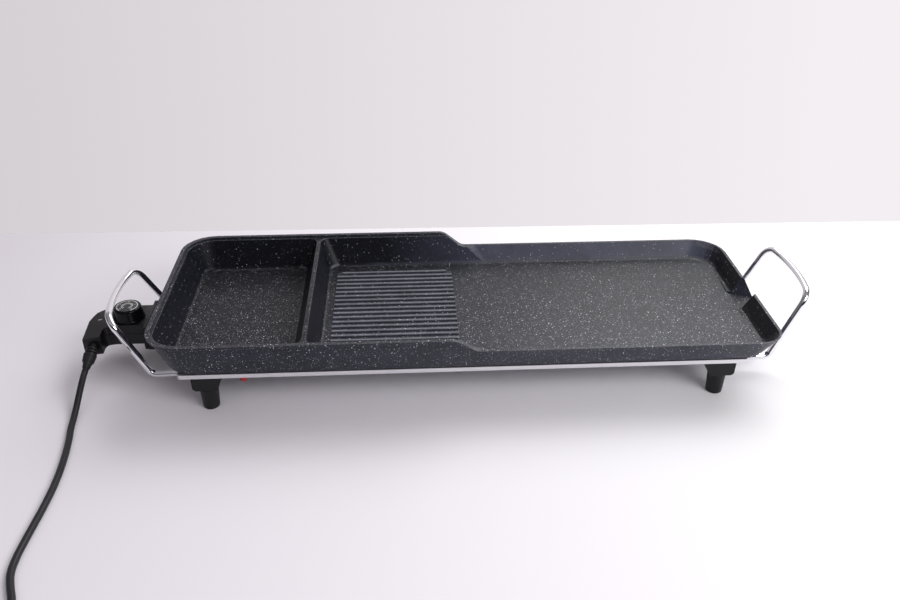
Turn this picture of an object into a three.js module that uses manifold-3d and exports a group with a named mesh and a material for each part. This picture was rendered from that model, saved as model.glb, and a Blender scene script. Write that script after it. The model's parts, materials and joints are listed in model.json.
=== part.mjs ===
// Long countertop electric grill. A cast pan has a pot well on the left, a ribbed griddle beside it and a
// flat plate with a drain spout on the right. Under the pan are a tubular heating element, a pressed steel
// tray, four plastic feet and two wire handles. A thermostat probe with a knob pulls out on the left.
// Millimetres, +X to the right, +Y to the back, +Z up. The table is at z = 0.

import * as THREE from "three";
import { mergeVertices } from "three/addons/utils/BufferGeometryUtils.js";
import { ConvexGeometry } from "three/addons/geometries/ConvexGeometry.js";
import Module from "manifold-3d";

const wasm = await Module();
wasm.setup();

// Driving dimensions, one group for each piece. Heights are above the table.

const clearance = 0.3;
const overrun = 3;
const cornerSteps = 6;
const roundSides = 20;
const knobSides = 32;
const screwSides = 12;
const wireSides = 8;
const bendSteps = 4;

const pan = {
  length: 680,
  width: 255,
  rimHeight: 93,
  lowRimHeight: 76,
  undersideHeight: 48.5,
  lowRimInset: 4.7,
  undersideInset: 16.9,
  edgeRound: 2,
  leftCorner: 38,
  backRightCorner: 40,
  frontRightCorner: 30,
  tallRimLength: 321,
  stepRun: 23,
  stepRound: 6,
  footBand: 12,
  floorThickness: 4,
};

const ledge = { lipWidth: 5, drop: 3, width: 2.5 };

const well = {
  floorHeight: 56.5,
  potFloorHeight: 55.2,
  sideInset: 20,
  rightInset: 18,
  creaseRound: 3.5,
  potCorner: 16,
  dividerCorner: 10,
  lowRimWall: 3.3,
  plateWallStart: 39,
  plateWallLean: 14,
};

const divider = { offset: 165, topWidth: 4.6, potSpread: 12.7, griddleSpread: 9.7 };

const rib = { start: 188, length: 141, pitch: 9.55, width: 4.6, height: 2.6, endSetback: 6, sideMargin: 21 };

const spout = {
  offset: -1.5,
  halfWidth: 18,
  reach: 17.6,
  rise: 4,
  rimHalfWidth: 17.3,
  wall: 2.6,
  foldDistance: 29,
  foldBack: 75,
  foldFront: 49,
  foldDrop: 1.2,
};

const element = {
  radius: 3.3,
  height: 45.5,
  terminalSpacing: 19,
  sideInset: 57.5,
  startInset: 74,
  spreadInset: 108,
  endInset: 78,
  bend: 24,
  ridgeWidth: 12,
  pinRadius: 2,
  pinLength: 20,
};

const sleeve = { radius: 4.5, bore: 3.2, length: 54, bossWidth: 14, bossLength: 28 };

const tray = {
  guardGap: 1.45,
  rightInset: 40.35,
  sideInset: 16.7,
  top: 48.2,
  skirt: 4.8,
  corner: 4,
  sheet: 1,
  bottom: 24,
  wellEndInset: 25,
  wellSideInset: 28.8,
  wellCorner: 26,
  wellDraft: 4,
  notchWidth: 36,
  notchDepth: 30,
  vents: 7,
  ventPitch: 56,
  ventWidth: 12,
  ventLength: 76,
};

const foot = {
  endInset: 29.5,
  sideInset: 12.3,
  height: 26,
  bottomRadius: 8.3,
  topRadius: 10.3,
  bottomRound: 0.8,
  outerReach: 18.5,
  innerReach: 22.5,
  outerTaper: 2,
  shelfRound: 4,
  slantStart: 39,
  slantEnd: 21.5,
  bore: 4.4,
  boreDepth: 19,
};

const screw = { shank: 1.9, head: 3.8, headHeight: 2.4, slotWidth: 1, slotDepth: 1.1, cover: 1 };

const handle = {
  wire: 3,
  out: 40.7,
  lean: 37.9,
  leftTop: 87,
  rightTop: 97.5,
  baseHalf: 65,
  topHalf: 59,
  bow: 7,
  footBend: 9,
  topBend: 17,
  bowBend: 59,
  tail: 130,
};

const clamp = { width: 14, sheet: 1.2, overhang: 8, endInset: 20.3, screwInset: 21, screwLength: 6 };

const lamp = {
  fromEnd: 73.7,
  fromFront: 6.8,
  topRadius: 4,
  bottomRadius: 2.5,
  bottomRound: 0.8,
  drop: 4.4,
};

const guard = {
  proud: 23,
  width: 68,
  bottom: 30,
  top: 58,
  depth: 34.2,
  flange: 3,
  boxWidth: 52,
  mouthWidth: 43,
  mouthHeight: 20,
  back: 8,
  corner: 5,
  earWidth: 13,
  earLength: 17,
  earThickness: 3.4,
  earSide: 1,
  screwInset: 3,
};

const probe = {
  length: 45,
  width: 44,
  bottom: 32,
  top: 57,
  armOut: 66,
  armWidth: 20,
  armEnd: 36,
  armBottom: 28,
  armTop: 50,
  fillet: 6,
  wall: 2.4,
  noseLength: 20,
  noseWidth: 38,
  noseHeight: 16,
  rodRadius: 2.75,
  rodReach: 70,
  contactRadius: 3.1,
  contactLength: 23,
  screwHead: 2.8,
  screwShank: 1.3,
  pocket: 9,
};

const thermostat = { length: 22, width: 22, height: 13, back: 9, rodSocket: 3 };

const knob = {
  back: 20.7,
  side: -4,
  bottomRadius: 17.5,
  topRadius: 15,
  height: 14.8,
  edgeRound: 1.6,
  dialRadius: 12.4,
  dialDepth: 1,
  dialThickness: 0.5,
  boreDepth: 9.5,
  shaftRadius: 3,
};

const relief = {
  side: 0.3,
  height: 39,
  run: [-3, -24, -12],
  collar: 5.2,
  collarDepth: 8.7,
  collarLength: 3,
  neck: 3.9,
  bellRadius: 7.4,
  bellLength: 4,
  tipRadius: 4.5,
  ribs: 5,
  ribDepth: 0.9,
};

const cord = { radius: 3.4, sides: 10, steps: 27 };

const coil = {
  radius: 46,
  loops: 5,
  gap: 0.6,
  layerGap: 0.5,
  climbTurns: 0.5,
  tail: 36,
  loopSteps: 24,
  sides: 6,
  pathSamples: 6,
};

const plug = {
  length: 40,
  width: 34,
  thickness: 21,
  neck: 11,
  neckLength: 10,
  shoulder: 20,
  corner: 4,
  neckCorner: 3.6,
  pinRadius: 2.35,
  pinLength: 19,
  pinSpacing: 19,
};

// The lead's route from the strain relief down to the table and along it to the coil, chosen by hand.
// It is measured along X from the socket guard's face.
const cordRoute = [
  [-59.3, -72, 22.6],
  [-59.6, -88, 15.4],
  [-59.3, -104, 8.6],
  [-58.4, -120, 4.4],
  [-56.6, -135, 3.6],
  [-52.6, -155, 3.6],
  [-48.1, -185, 3.6],
  [-45.6, -216, 3.6],
  [-45.4, -245, 3.6],
  [-46.6, -273, 3.6],
  [-47.8, -298, 3.6],
  [-47.9, -316, 3.6],
  [-46.3, -330, 3.6],
  [-41.9, -343, 3.6],
  [-35.3, -358, 3.6],
  [-29.9, -374, 3.6],
  [-27, -392, 3.6],
  [-26.3, -410, 3.6],
];
const coilStart = [-26.3, -418, 3.6];

// Shares of the sizes above.
const creaseShares = [[0, 1], [0.3, 0.3], [1, 0]];
const reliefTaperShare = 0.82;
const armBackShares = [0.55, 0.9, 0.72];
const armFoldShares = { nearX: 0.66, nearY: -0.5, farX: 0.92, farY: 0.38, endX: 0.85 };
const knobSkirtShare = 0.12;
const ribArcShares = [[-0.5, 0], [-0.36, 0.72], [-0.14, 1], [0.14, 1], [0.36, 0.72], [0.5, 0]];

const halfLength = pan.length / 2;
const halfWidth = pan.width / 2;
const cutReach = halfLength;
const stepStart = pan.tallRimLength - halfLength;
const stepEnd = stepStart + pan.stepRun;
const floorUnderside = pan.undersideHeight + pan.floorThickness;
const ledgeHeight = pan.rimHeight - ledge.drop;
const wellFloorFront = halfWidth - well.sideInset;
const wellTopFront = halfWidth - ledge.lipWidth - ledge.width;
const dividerX = divider.offset - halfLength;
const terminalHalf = element.terminalSpacing / 2;
const guardFaceX = -halfLength - guard.proud;
const guardBackX = guardFaceX + guard.depth;
const guardWallX = guardBackX - guard.back;
const trayLeft = guardBackX + guard.earLength + tray.guardGap;
const trayRight = halfLength - tray.rightInset;
const trayMiddle = (trayLeft + trayRight) / 2;
const trayHalfX = (trayRight - trayLeft) / 2;
const trayHalfY = halfWidth - tray.sideInset;
const handleBase = trayHalfX + handle.out;
const handleTop = handleBase + handle.lean;
const clampX = handleBase - handle.tail + clamp.endInset;
const clampScrewY = handle.baseHalf - clamp.screwInset;

// Finishes.

function finish(color, roughness, metalness) {
  return new THREE.MeshStandardMaterial({ color, roughness, metalness });
}

const finishes = {
  coating: finish(0x2b2e38, 0.55, 0.2),
  steel: finish(0xc9cacd, 0.35, 0.9),
  chrome: finish(0xdedfe2, 0.12, 1),
  element: finish(0x4a4844, 0.6, 0.7),
  zinc: finish(0xb4b5b2, 0.4, 0.9),
  brass: finish(0xb89a4e, 0.35, 0.9),
  footPlastic: finish(0x1d1d20, 0.7, 0),
  probePlastic: finish(0x17171a, 0.45, 0),
  knobPlastic: finish(0x0c0c0e, 0.25, 0),
  dial: finish(0x2a2a2c, 0.4, 0),
  lens: finish(0xc01818, 0.3, 0),
  rubber: finish(0x19191b, 0.8, 0),
};

// Solids: closed geometry in and out of the boolean library.

function solidOf(geometry) {
  const bare = geometry.clone();
  for (const name of ["normal", "uv"]) {
    bare.deleteAttribute(name);
  }
  const merged = mergeVertices(bare);
  return new wasm.Manifold(new wasm.Mesh({
    numProp: 3,
    vertProperties: new Float32Array(merged.attributes.position.array),
    triVerts: new Uint32Array(merged.index.array),
  }));
}

function geometryOf(solid) {
  const mesh = solid.getMesh();
  const geometry = new THREE.BufferGeometry();
  geometry.setAttribute("position", new THREE.BufferAttribute(new Float32Array(mesh.vertProperties), 3));
  geometry.setIndex(new THREE.BufferAttribute(new Uint32Array(mesh.triVerts), 1));
  geometry.computeVertexNormals();
  return geometry;
}

function joined(...geometries) {
  return geometries.map(solidOf).reduce((sum, solid) => sum.add(solid));
}

function cutFrom(solid, ...geometries) {
  return geometries.reduce((rest, geometry) => rest.subtract(solidOf(geometry)), solid);
}

// Shapes: outlines, lofts, bars, discs and tubes.

function outline(x0, x1, y0, y1, corners, z) {
  const [frontLeft, frontRight, backRight, backLeft] = corners;
  const centres = [
    [x1 - frontRight, y0 + frontRight, frontRight],
    [x1 - backRight, y1 - backRight, backRight],
    [x0 + backLeft, y1 - backLeft, backLeft],
    [x0 + frontLeft, y0 + frontLeft, frontLeft],
  ];
  return centres.flatMap(([x, y, radius], corner) => Array.from({ length: cornerSteps + 1 }, (_, step) => {
    const angle = (corner - 1 + step / cornerSteps) * (Math.PI / 2);
    return new THREE.Vector3(x + radius * Math.cos(angle), y + radius * Math.sin(angle), z);
  }));
}

function evenOutline(x0, x1, y0, y1, corner, z) {
  return outline(x0, x1, y0, y1, [corner, corner, corner, corner], z);
}

function loft(rings) {
  const size = rings[0].length;
  const total = (ring) => ring.reduce((sum, point) => sum.add(point), new THREE.Vector3());
  const ends = [rings[0], rings.at(-1)].map((ring) => total(ring).divideScalar(size));
  const points = [...rings.flat(), ...ends];
  const bottom = points.length - 2;
  const top = points.length - 1;
  const index = [];
  for (let i = 0; i < size; i += 1) {
    const next = (i + 1) % size;
    for (let ring = 0; ring < rings.length - 1; ring += 1) {
      const low = ring * size;
      const high = low + size;
      index.push(low + i, low + next, high + next, low + i, high + next, high + i);
    }
    const last = (rings.length - 1) * size;
    index.push(bottom, next, i, top, last + i, last + next);
  }
  const geometry = new THREE.BufferGeometry().setFromPoints(points);
  geometry.setIndex(index);
  return geometry;
}

function prism(points, depth) {
  const shape = new THREE.Shape(points.map(([x, y]) => new THREE.Vector2(x, y)));
  return new THREE.ExtrudeGeometry(shape, { depth, bevelEnabled: false });
}

// Turns a flat outline of (across, up) points into a bar that runs along X or Y about its own middle.
function barAlongX(geometry, length) {
  const basis = new THREE.Matrix4().makeBasis(
    new THREE.Vector3(0, 1, 0), new THREE.Vector3(0, 0, 1), new THREE.Vector3(1, 0, 0));
  return geometry.applyMatrix4(basis).translate(-length / 2, 0, 0);
}

function barAlongY(geometry, length) {
  return geometry.rotateX(Math.PI / 2).translate(0, length / 2, 0);
}

function box(x0, x1, y0, y1, z0, z1) {
  return new THREE.BoxGeometry(x1 - x0, y1 - y0, z1 - z0)
    .translate((x0 + x1) / 2, (y0 + y1) / 2, (z0 + z1) / 2);
}

function post(radius, z0, z1, x = 0, y = 0) {
  return new THREE.CylinderGeometry(radius, radius, z1 - z0, roundSides)
    .rotateX(Math.PI / 2).translate(x, y, (z0 + z1) / 2);
}

function rodAlongX(radius, x0, x1, y, z) {
  return new THREE.CylinderGeometry(radius, radius, x1 - x0, roundSides)
    .rotateZ(Math.PI / 2).translate((x0 + x1) / 2, y, z);
}

function turned(profile, sides = roundSides) {
  const points = profile.map(([radius, z]) => new THREE.Vector2(radius, z));
  return new THREE.LatheGeometry(points, sides).rotateX(Math.PI / 2);
}

// A path through given points, one extrusion step for each, so that only bends take many steps.
class PointPath extends THREE.Curve {
  constructor(points) {
    super();
    this.points = points;
  }

  getUtoTmapping(u) {
    return u;
  }

  getPoint(t, target = new THREE.Vector3()) {
    const place = Math.min(Math.max(t, 0), 1) * (this.points.length - 1);
    const from = Math.min(Math.floor(place), this.points.length - 2);
    return target.copy(this.points[from]).lerp(this.points[from + 1], place - from);
  }
}

// Rounds the corners of a route of straight stretches.
function bentRoute(corners, bends) {
  const points = [corners[0]];
  for (let i = 1; i < corners.length - 1; i += 1) {
    const before = corners[i - 1].clone().sub(corners[i]).normalize();
    const after = corners[i + 1].clone().sub(corners[i]).normalize();
    const half = before.angleTo(after) / 2;
    const setback = bends[i - 1] / Math.tan(half);
    const centre = before.clone().add(after).setLength(bends[i - 1] / Math.sin(half)).add(corners[i]);
    const first = before.multiplyScalar(setback).add(corners[i]).sub(centre);
    const last = after.multiplyScalar(setback).add(corners[i]).sub(centre);
    const sweep = first.angleTo(last);
    const axis = first.clone().cross(last).normalize();
    for (let step = 0; step <= bendSteps; step += 1) {
      points.push(first.clone().applyAxisAngle(axis, (sweep * step) / bendSteps).add(centre));
    }
  }
  points.push(corners.at(-1));
  return points;
}

function polygon(radius, sides) {
  return Array.from({ length: sides }, (_, i) => {
    const angle = (i / sides) * 2 * Math.PI;
    return [radius * Math.cos(angle), radius * Math.sin(angle)];
  });
}

function sweep(section, points) {
  const shape = new THREE.Shape(section.map(([x, y]) => new THREE.Vector2(x, y)));
  return new THREE.ExtrudeGeometry(shape, { steps: points.length - 1, extrudePath: new PointPath(points) });
}

function place(mesh, x, y, z, turn = 0) {
  mesh.position.set(x, y, z);
  mesh.rotation.z = turn;
  return mesh;
}

function piece(name, geometry, material) {
  const mesh = new THREE.Mesh(geometry, material);
  mesh.name = name;
  return mesh;
}

// Pan: one casting, drafted outside and inside, with the low rim stepped down on the right.

function panInset(height) {
  if (height > pan.lowRimHeight) {
    return pan.lowRimInset * (pan.rimHeight - height) / (pan.rimHeight - pan.lowRimHeight);
  }
  const share = (pan.lowRimHeight - height) / (pan.lowRimHeight - pan.undersideHeight);
  return pan.lowRimInset + share * (pan.undersideInset - pan.lowRimInset);
}

const panCorners = [pan.leftCorner, pan.frontRightCorner, pan.backRightCorner, pan.leftCorner];

function panOutline(inset, z) {
  const corners = panCorners.map((corner) => corner - inset / 2);
  return outline(inset - halfLength, halfLength - inset, inset - halfWidth, halfWidth - inset, corners, z);
}

function panOutside() {
  return loft([
    panOutline(pan.undersideInset + pan.edgeRound, pan.undersideHeight),
    panOutline(panInset(pan.undersideHeight + pan.edgeRound), pan.undersideHeight + pan.edgeRound),
    panOutline(pan.lowRimInset, pan.lowRimHeight),
    panOutline(0, pan.rimHeight),
  ]);
}

// Everything above the low rim, with the slope that the tall rim ends in.
function lowSideCutter() {
  const slope = new THREE.Vector2(pan.stepRun, pan.lowRimHeight - pan.rimHeight).setLength(pan.stepRound);
  const top = pan.rimHeight + overrun;
  const shape = new THREE.Shape();
  shape.moveTo(stepStart - pan.stepRound, top);
  shape.lineTo(stepStart - pan.stepRound, pan.rimHeight);
  shape.quadraticCurveTo(stepStart, pan.rimHeight, stepStart + slope.x, pan.rimHeight + slope.y);
  shape.lineTo(stepEnd - slope.x, pan.lowRimHeight - slope.y);
  shape.quadraticCurveTo(stepEnd, pan.lowRimHeight, stepEnd + pan.stepRound, pan.lowRimHeight);
  shape.lineTo(halfLength + overrun, pan.lowRimHeight);
  shape.lineTo(halfLength + overrun, top);
  const depth = pan.width + 2 * overrun;
  const options = { depth, bevelEnabled: false, curveSegments: bendSteps };
  return barAlongY(new THREE.ExtrudeGeometry(shape, options), depth);
}

// A hollow with leaning walls and a rounded crease round its floor.
function hollow(floor, top, corners, topCorners, floorHeight, topHeight) {
  const at = (height, inset) => {
    const share = (height - floorHeight) / (topHeight - floorHeight);
    const side = (i) => floor[i] + share * (top[i] - floor[i]);
    const radii = corners.map((corner, i) => corner + share * (topCorners[i] - corner));
    return outline(side(0) + inset, side(1) - inset, side(2) + inset, side(3) - inset, radii, height);
  };
  const crease = creaseShares.map(([rise, inset]) => at(
    floorHeight + rise * well.creaseRound, inset * well.creaseRound));
  return loft([...crease, at(topHeight, 0), at(topHeight + 2 * overrun, 0)]);
}

function potWell() {
  const right = dividerX - divider.topWidth / 2;
  const floor = [well.sideInset - halfLength, right - divider.potSpread, -wellFloorFront, wellFloorFront];
  const top = [ledge.lipWidth + ledge.width - halfLength, right, -wellTopFront, wellTopFront];
  const outer = pan.leftCorner - ledge.lipWidth - ledge.width;
  return hollow(floor, top, [well.potCorner, well.potCorner, well.potCorner, well.potCorner],
    [outer, well.dividerCorner, well.dividerCorner, outer], well.potFloorHeight, ledgeHeight);
}

const rightFloorX = halfLength - well.rightInset;
const lowRimInner = pan.lowRimInset + well.lowRimWall;
const lowRimCorners = [pan.frontRightCorner - lowRimInner, pan.backRightCorner - lowRimInner];

// The griddle and plate share one hollow, under the tall rim and on past it.
function griddleWell() {
  const left = dividerX + divider.topWidth / 2;
  const rise = (ledgeHeight - well.floorHeight) / (pan.lowRimHeight - well.floorHeight);
  const rightTop = rightFloorX + rise * (well.rightInset - lowRimInner);
  const floor = [left + divider.griddleSpread, rightFloorX, -wellFloorFront, wellFloorFront];
  const top = [left, rightTop, -wellTopFront, wellTopFront];
  return hollow(floor, top, [well.potCorner, ...lowRimCorners, well.potCorner],
    [well.dividerCorner, ...lowRimCorners, well.dividerCorner], well.floorHeight, ledgeHeight);
}

// The plate's own walls lean out further, up to the thin low rim.
function plateWell() {
  const left = stepStart + well.plateWallStart;
  const inner = halfWidth - lowRimInner;
  const floor = [left, rightFloorX, -wellFloorFront, wellFloorFront];
  const top = [left - well.plateWallLean, halfLength - lowRimInner, -inner, inner];
  return hollow(floor, top, [well.potCorner, ...lowRimCorners, well.potCorner],
    [well.potCorner, ...lowRimCorners, well.potCorner], well.floorHeight, pan.lowRimHeight);
}

function lidLedge() {
  const inset = ledge.lipWidth;
  return loft([panOutline(inset, ledgeHeight), panOutline(inset, pan.rimHeight + overrun)]);
}

function ribs() {
  const left = rib.start - halfLength;
  const count = 1 + Math.floor(2 * (wellFloorFront - rib.sideMargin) / rib.pitch);
  return Array.from({ length: count }, (_, i) => {
    const outer = i === 0 || i === count - 1;
    const setback = outer ? rib.endSetback : 0;
    const length = rib.length - 2 * setback;
    const arc = ribArcShares.map(([across, up]) => [across * rib.width, up * rib.height]);
    const section = [[-rib.width / 2, -overrun / 2], ...arc, [rib.width / 2, -overrun / 2]];
    const y = (i - (count - 1) / 2) * rib.pitch;
    return barAlongX(prism(section, length), length).translate(left + rib.length / 2, y, well.floorHeight);
  });
}

// The spout: a pointed lip outside the right wall and a V-shaped channel through both.
function spoutPoints(x, y, z) {
  return [new THREE.Vector3(x, spout.offset + y, z), new THREE.Vector3(x, spout.offset - y, z)];
}

const spoutTip = { x: rightFloorX + spout.reach, z: well.floorHeight + spout.rise };
const drainHeight = well.floorHeight - spout.foldDrop;

function spoutLip() {
  const rimX = halfLength - pan.lowRimInset - clearance;
  const rimHalf = spout.rimHalfWidth + spout.wall;
  const rimZ = pan.lowRimHeight - clearance;
  const half = spout.wall / 2;
  return new ConvexGeometry([
    ...spoutPoints(spoutTip.x + half, half, spoutTip.z),
    ...spoutPoints(spoutTip.x, half, spoutTip.z - spout.wall - half),
    ...spoutPoints(rimX, rimHalf, rimZ),
    ...spoutPoints(rimX - spout.wall, rimHalf, rimZ),
    ...spoutPoints(rightFloorX, spout.halfWidth + spout.wall, drainHeight - half),
  ]);
}

// Half the channel's width at a place: its flanks are flat, through the floor's edge, the rim and the tip.
function spoutHalf(x, z) {
  const places = new THREE.Matrix3().set(
    1, rightFloorX, well.floorHeight,
    1, halfLength - pan.lowRimInset, pan.lowRimHeight,
    1, spoutTip.x, spoutTip.z);
  const [base, alongX, alongZ] = new THREE.Vector3(spout.halfWidth, spout.rimHalfWidth, 0)
    .applyMatrix3(places.invert());
  return { half: base + alongX * x + alongZ * z, closing: -(base + alongZ * z) / alongX };
}

function spoutChannel() {
  const top = pan.lowRimHeight + overrun;
  const startX = rightFloorX - well.creaseRound;
  const across = (x, z) => spoutPoints(x, spoutHalf(x, z).half, z);
  return new ConvexGeometry([
    ...across(startX, well.floorHeight),
    ...across(rightFloorX, drainHeight),
    ...across(startX, top),
    new THREE.Vector3(spoutTip.x, spout.offset, spoutTip.z),
    new THREE.Vector3(spoutHalf(0, top).closing, spout.offset, top),
  ]);
}

// The plate's floor folds down a little towards the spout.
function drainFold() {
  const flat = well.floorHeight;
  const folds = [rightFloorX - spout.foldDistance, rightFloorX - well.creaseRound].flatMap((x) => [
    new THREE.Vector3(x, spout.foldBack, flat),
    new THREE.Vector3(x, -spout.foldFront, flat),
  ]);
  const mouth = spoutPoints(rightFloorX, spoutHalf(rightFloorX, drainHeight).half, drainHeight);
  const level = mouth.map((point) => point.clone().setZ(flat));
  return new ConvexGeometry([...folds, ...mouth, ...level]);
}

// Underside: a solid band round the edge, raised seats for the element and sleeve, and screw bosses.
const footPlaces = [-1, 1].flatMap((x) => [-1, 1].map((y) => [
  trayMiddle + x * (trayHalfX - foot.endInset), y * (trayHalfY - foot.sideInset), x, y]));

function elementRoute(startX) {
  const run = halfWidth - element.sideInset;
  const corners = [
    [startX, terminalHalf],
    [element.startInset - halfLength, terminalHalf],
    [element.spreadInset - halfLength, run],
    [halfLength - element.endInset, run],
    [halfLength - element.endInset, -run],
    [element.spreadInset - halfLength, -run],
    [element.startInset - halfLength, -terminalHalf],
    [startX, -terminalHalf],
  ].map(([x, y]) => new THREE.Vector3(x, y, element.height));
  return bentRoute(corners, corners.slice(2).map(() => element.bend));
}

function undersideRecess() {
  const inset = pan.undersideInset + pan.footBand;
  return loft([
    panOutline(inset, pan.undersideHeight - overrun),
    panOutline(inset, floorUnderside),
  ]);
}

function elementSeat() {
  const low = element.height;
  const high = floorUnderside + overrun / 2;
  const middle = (low + high) / 2;
  const section = [[-1, -1], [1, -1], [1, 1], [-1, 1]]
    .map(([up, across]) => [up * (high - low) / 2, across * element.ridgeWidth / 2]);
  const startX = pan.undersideInset + pan.footBand / 2 - halfLength;
  return sweep(section, elementRoute(startX).map((point) => point.clone().setZ(middle)));
}

function sleeveBoss() {
  const startX = pan.undersideInset + pan.footBand / 2 - halfLength;
  return box(startX, startX + sleeve.bossLength, -sleeve.bossWidth / 2, sleeve.bossWidth / 2,
    element.height, floorUnderside + overrun / 2);
}

const screwTop = floorUnderside - screw.cover;
const guardEarY = (guard.width - guard.earWidth) / 2 - guard.earSide;
const guardScrewX = guardBackX + guard.earLength - guard.screwInset - screw.head / 2;

function screwSeats() {
  const low = pan.undersideHeight + clearance;
  const high = floorUnderside + overrun / 2;
  return footPlaces.map(([x, y]) => post(screw.head + screw.shank, low, high, x, y));
}

function screwHoles() {
  const low = pan.undersideHeight - overrun;
  const high = screwTop + clearance;
  const ears = [-1, 1].map((side) => [guardScrewX, side * guardEarY]);
  return [...footPlaces, ...ears].map(([x, y]) => post(screw.shank + clearance, low, high, x, y));
}

function panBody() {
  const shell = cutFrom(
    joined(panOutside(), spoutLip()),
    lowSideCutter(), potWell(), griddleWell(), plateWell(), lidLedge(),
    drainFold(), spoutChannel(), undersideRecess());
  const sleeveEnd = guardWallX + sleeve.length + clearance;
  const grooves = [
    sweep(polygon(element.radius + clearance, wireSides), elementRoute(guardBackX)),
    rodAlongX(sleeve.radius + clearance, guardBackX, sleeveEnd, 0, element.height),
  ];
  const full = [...ribs(), elementSeat(), sleeveBoss(), ...screwSeats()]
    .reduce((sum, geometry) => sum.add(solidOf(geometry)), shell);
  return piece("pan_body", geometryOf(cutFrom(full, ...grooves, ...screwHoles())), finishes.coating);
}

// Heating element: one bent tube with a pin out of each end, and the probe's sleeve between them.

function heatingParts() {
  const group = new THREE.Group();
  const tubing = sweep(polygon(element.radius, wireSides), elementRoute(guardWallX));
  group.add(piece("heating_element", tubing, finishes.element));
  for (const [name, y] of [["terminal_pin_front", -terminalHalf], ["terminal_pin_rear", terminalHalf]]) {
    const end = guardWallX - clearance;
    const pin = rodAlongX(element.pinRadius, end - element.pinLength, end, y, element.height);
    group.add(piece(name, pin, finishes.steel));
  }
  const start = guardWallX - clearance;
  const tube = cutFrom(
    solidOf(rodAlongX(sleeve.radius, start, start + sleeve.length, 0, element.height)),
    rodAlongX(sleeve.bore, start - overrun, start + sleeve.length + overrun, 0, element.height));
  group.add(piece("sensor_sleeve", geometryOf(tube), finishes.steel));
  return group;
}

// Socket guard: a moulded box round the pins, hung from two ears under the pan's left edge.

function socketGuard() {
  const middle = (guard.bottom + guard.top) / 2;
  const side = guard.width / 2;
  const half = guard.flange / 2;
  const boxHalf = guard.boxWidth / 2;
  const low = guard.bottom + half;
  const plate = loft([-half, half].map((along) => evenOutline(
    -side, side, guard.bottom - middle, guard.top - middle, guard.corner, along)));
  const barrel = box(guardFaceX + half, guardBackX, -boxHalf, boxHalf, low, guard.top - half);
  const facePlate = barAlongX(plate, 0).translate(guardFaceX + half, 0, middle);
  const earTop = pan.undersideHeight - clearance;
  const earLow = earTop - guard.earThickness;
  const earHalf = guard.earWidth / 2;
  const sides = [-guardEarY, guardEarY];
  const ears = sides.map((y) => box(
    guardBackX - guard.flange, guardBackX + guard.earLength, y - earHalf, y + earHalf, earLow, earTop));
  const webs = sides.map((y) => box(guardFaceX + half, guardBackX - half, y - half, y + half, low, earTop));
  const mouth = box(guardFaceX - overrun, guardWallX, -guard.mouthWidth / 2, guard.mouthWidth / 2,
    element.height - guard.mouthHeight / 2, element.height + guard.mouthHeight / 2);
  const through = (radius, y) => rodAlongX(
    radius + clearance, guardWallX - overrun, guardBackX + overrun, y, element.height);
  const tubes = [-terminalHalf, terminalHalf].map((y) => through(element.radius, y));
  const holes = sides.map((y) => post(
    screw.shank + clearance, earLow - overrun, earTop + overrun, guardScrewX, y));
  const body = cutFrom(
    joined(barrel, facePlate, ...ears, ...webs), mouth, ...tubes, through(sleeve.radius, 0), ...holes);
  return piece("socket_guard", geometryOf(body), finishes.probePlastic);
}

// A screw stands head down, with its tip up and a slot across the head.
function screwGeometry(length, shank = screw.shank, head = screw.head) {
  const under = screw.headHeight;
  const profile = [[0, 0], [head, 0], [head, under], [shank, under], [shank, length], [0, length]];
  const slotHalf = screw.slotWidth / 2;
  const slot = box(-head - overrun, head + overrun, -slotHalf, slotHalf, -overrun, screw.slotDepth);
  return geometryOf(cutFrom(solidOf(turned(profile, screwSides)), slot));
}

// Tray: a pressed sheet with a folded edge and a deep middle, open on top, with a row of vents in its floor.

function baseTray() {
  const halfX = trayHalfX;
  const halfY = trayHalfY;
  const slab = (inset, z0, z1) => loft([z0, z1].map((z) => evenOutline(
    inset - halfX, halfX - inset, inset - halfY, halfY - inset, tray.corner, z)));
  const bowl = (inset, low, high) => {
    const x = halfX - tray.wellEndInset - inset;
    const y = halfY - tray.wellSideInset - inset;
    const draft = tray.wellDraft;
    return loft([
      evenOutline(draft - x, x - draft, draft - y, y - draft, tray.wellCorner - draft, low),
      evenOutline(-x, x, -y, y, tray.wellCorner, high),
    ]);
  };
  const sheet = solidOf(slab(0, tray.top - tray.skirt, tray.top));
  const skirtInside = slab(tray.sheet, tray.top - tray.skirt - overrun, tray.top - tray.sheet);
  const pressed = cutFrom(sheet, skirtInside).add(solidOf(bowl(0, tray.bottom, tray.top - tray.sheet / 2)));
  const inside = bowl(tray.sheet, tray.bottom + tray.sheet, tray.top + overrun);
  const notch = box(-halfX - overrun, tray.notchDepth - halfX, -tray.notchWidth / 2, tray.notchWidth / 2,
    element.height - sleeve.radius - 2 * clearance, tray.top + overrun);
  const hole = screw.shank + clearance;
  const footHoles = footPlaces.map(([x, y]) => post(
    hole, tray.top - tray.skirt, tray.top + overrun, x - trayMiddle, y));
  const clampHoles = [-clampX, clampX].flatMap((x) => [-clampScrewY, clampScrewY].map(
    (y) => post(hole, tray.bottom - overrun, tray.bottom + tray.sheet + overrun, x, y)));
  const vents = Array.from({ length: tray.vents }, (_, i) => {
    const x = (i - (tray.vents - 1) / 2) * tray.ventPitch;
    const half = tray.ventWidth / 2;
    return loft([tray.bottom - overrun, tray.bottom + tray.sheet + overrun].map((z) => evenOutline(
      x - half, x + half, -tray.ventLength / 2, tray.ventLength / 2, half, z)));
  });
  const pierced = cutFrom(pressed, inside, notch, ...footHoles, ...clampHoles, ...vents);
  return place(piece("base_tray", geometryOf(pierced), finishes.steel), trayMiddle, 0, 0);
}

// Feet: a tapered leg under a block that seats inside the tray's folded edge.

const footTop = tray.top - tray.sheet - clearance;

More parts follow.
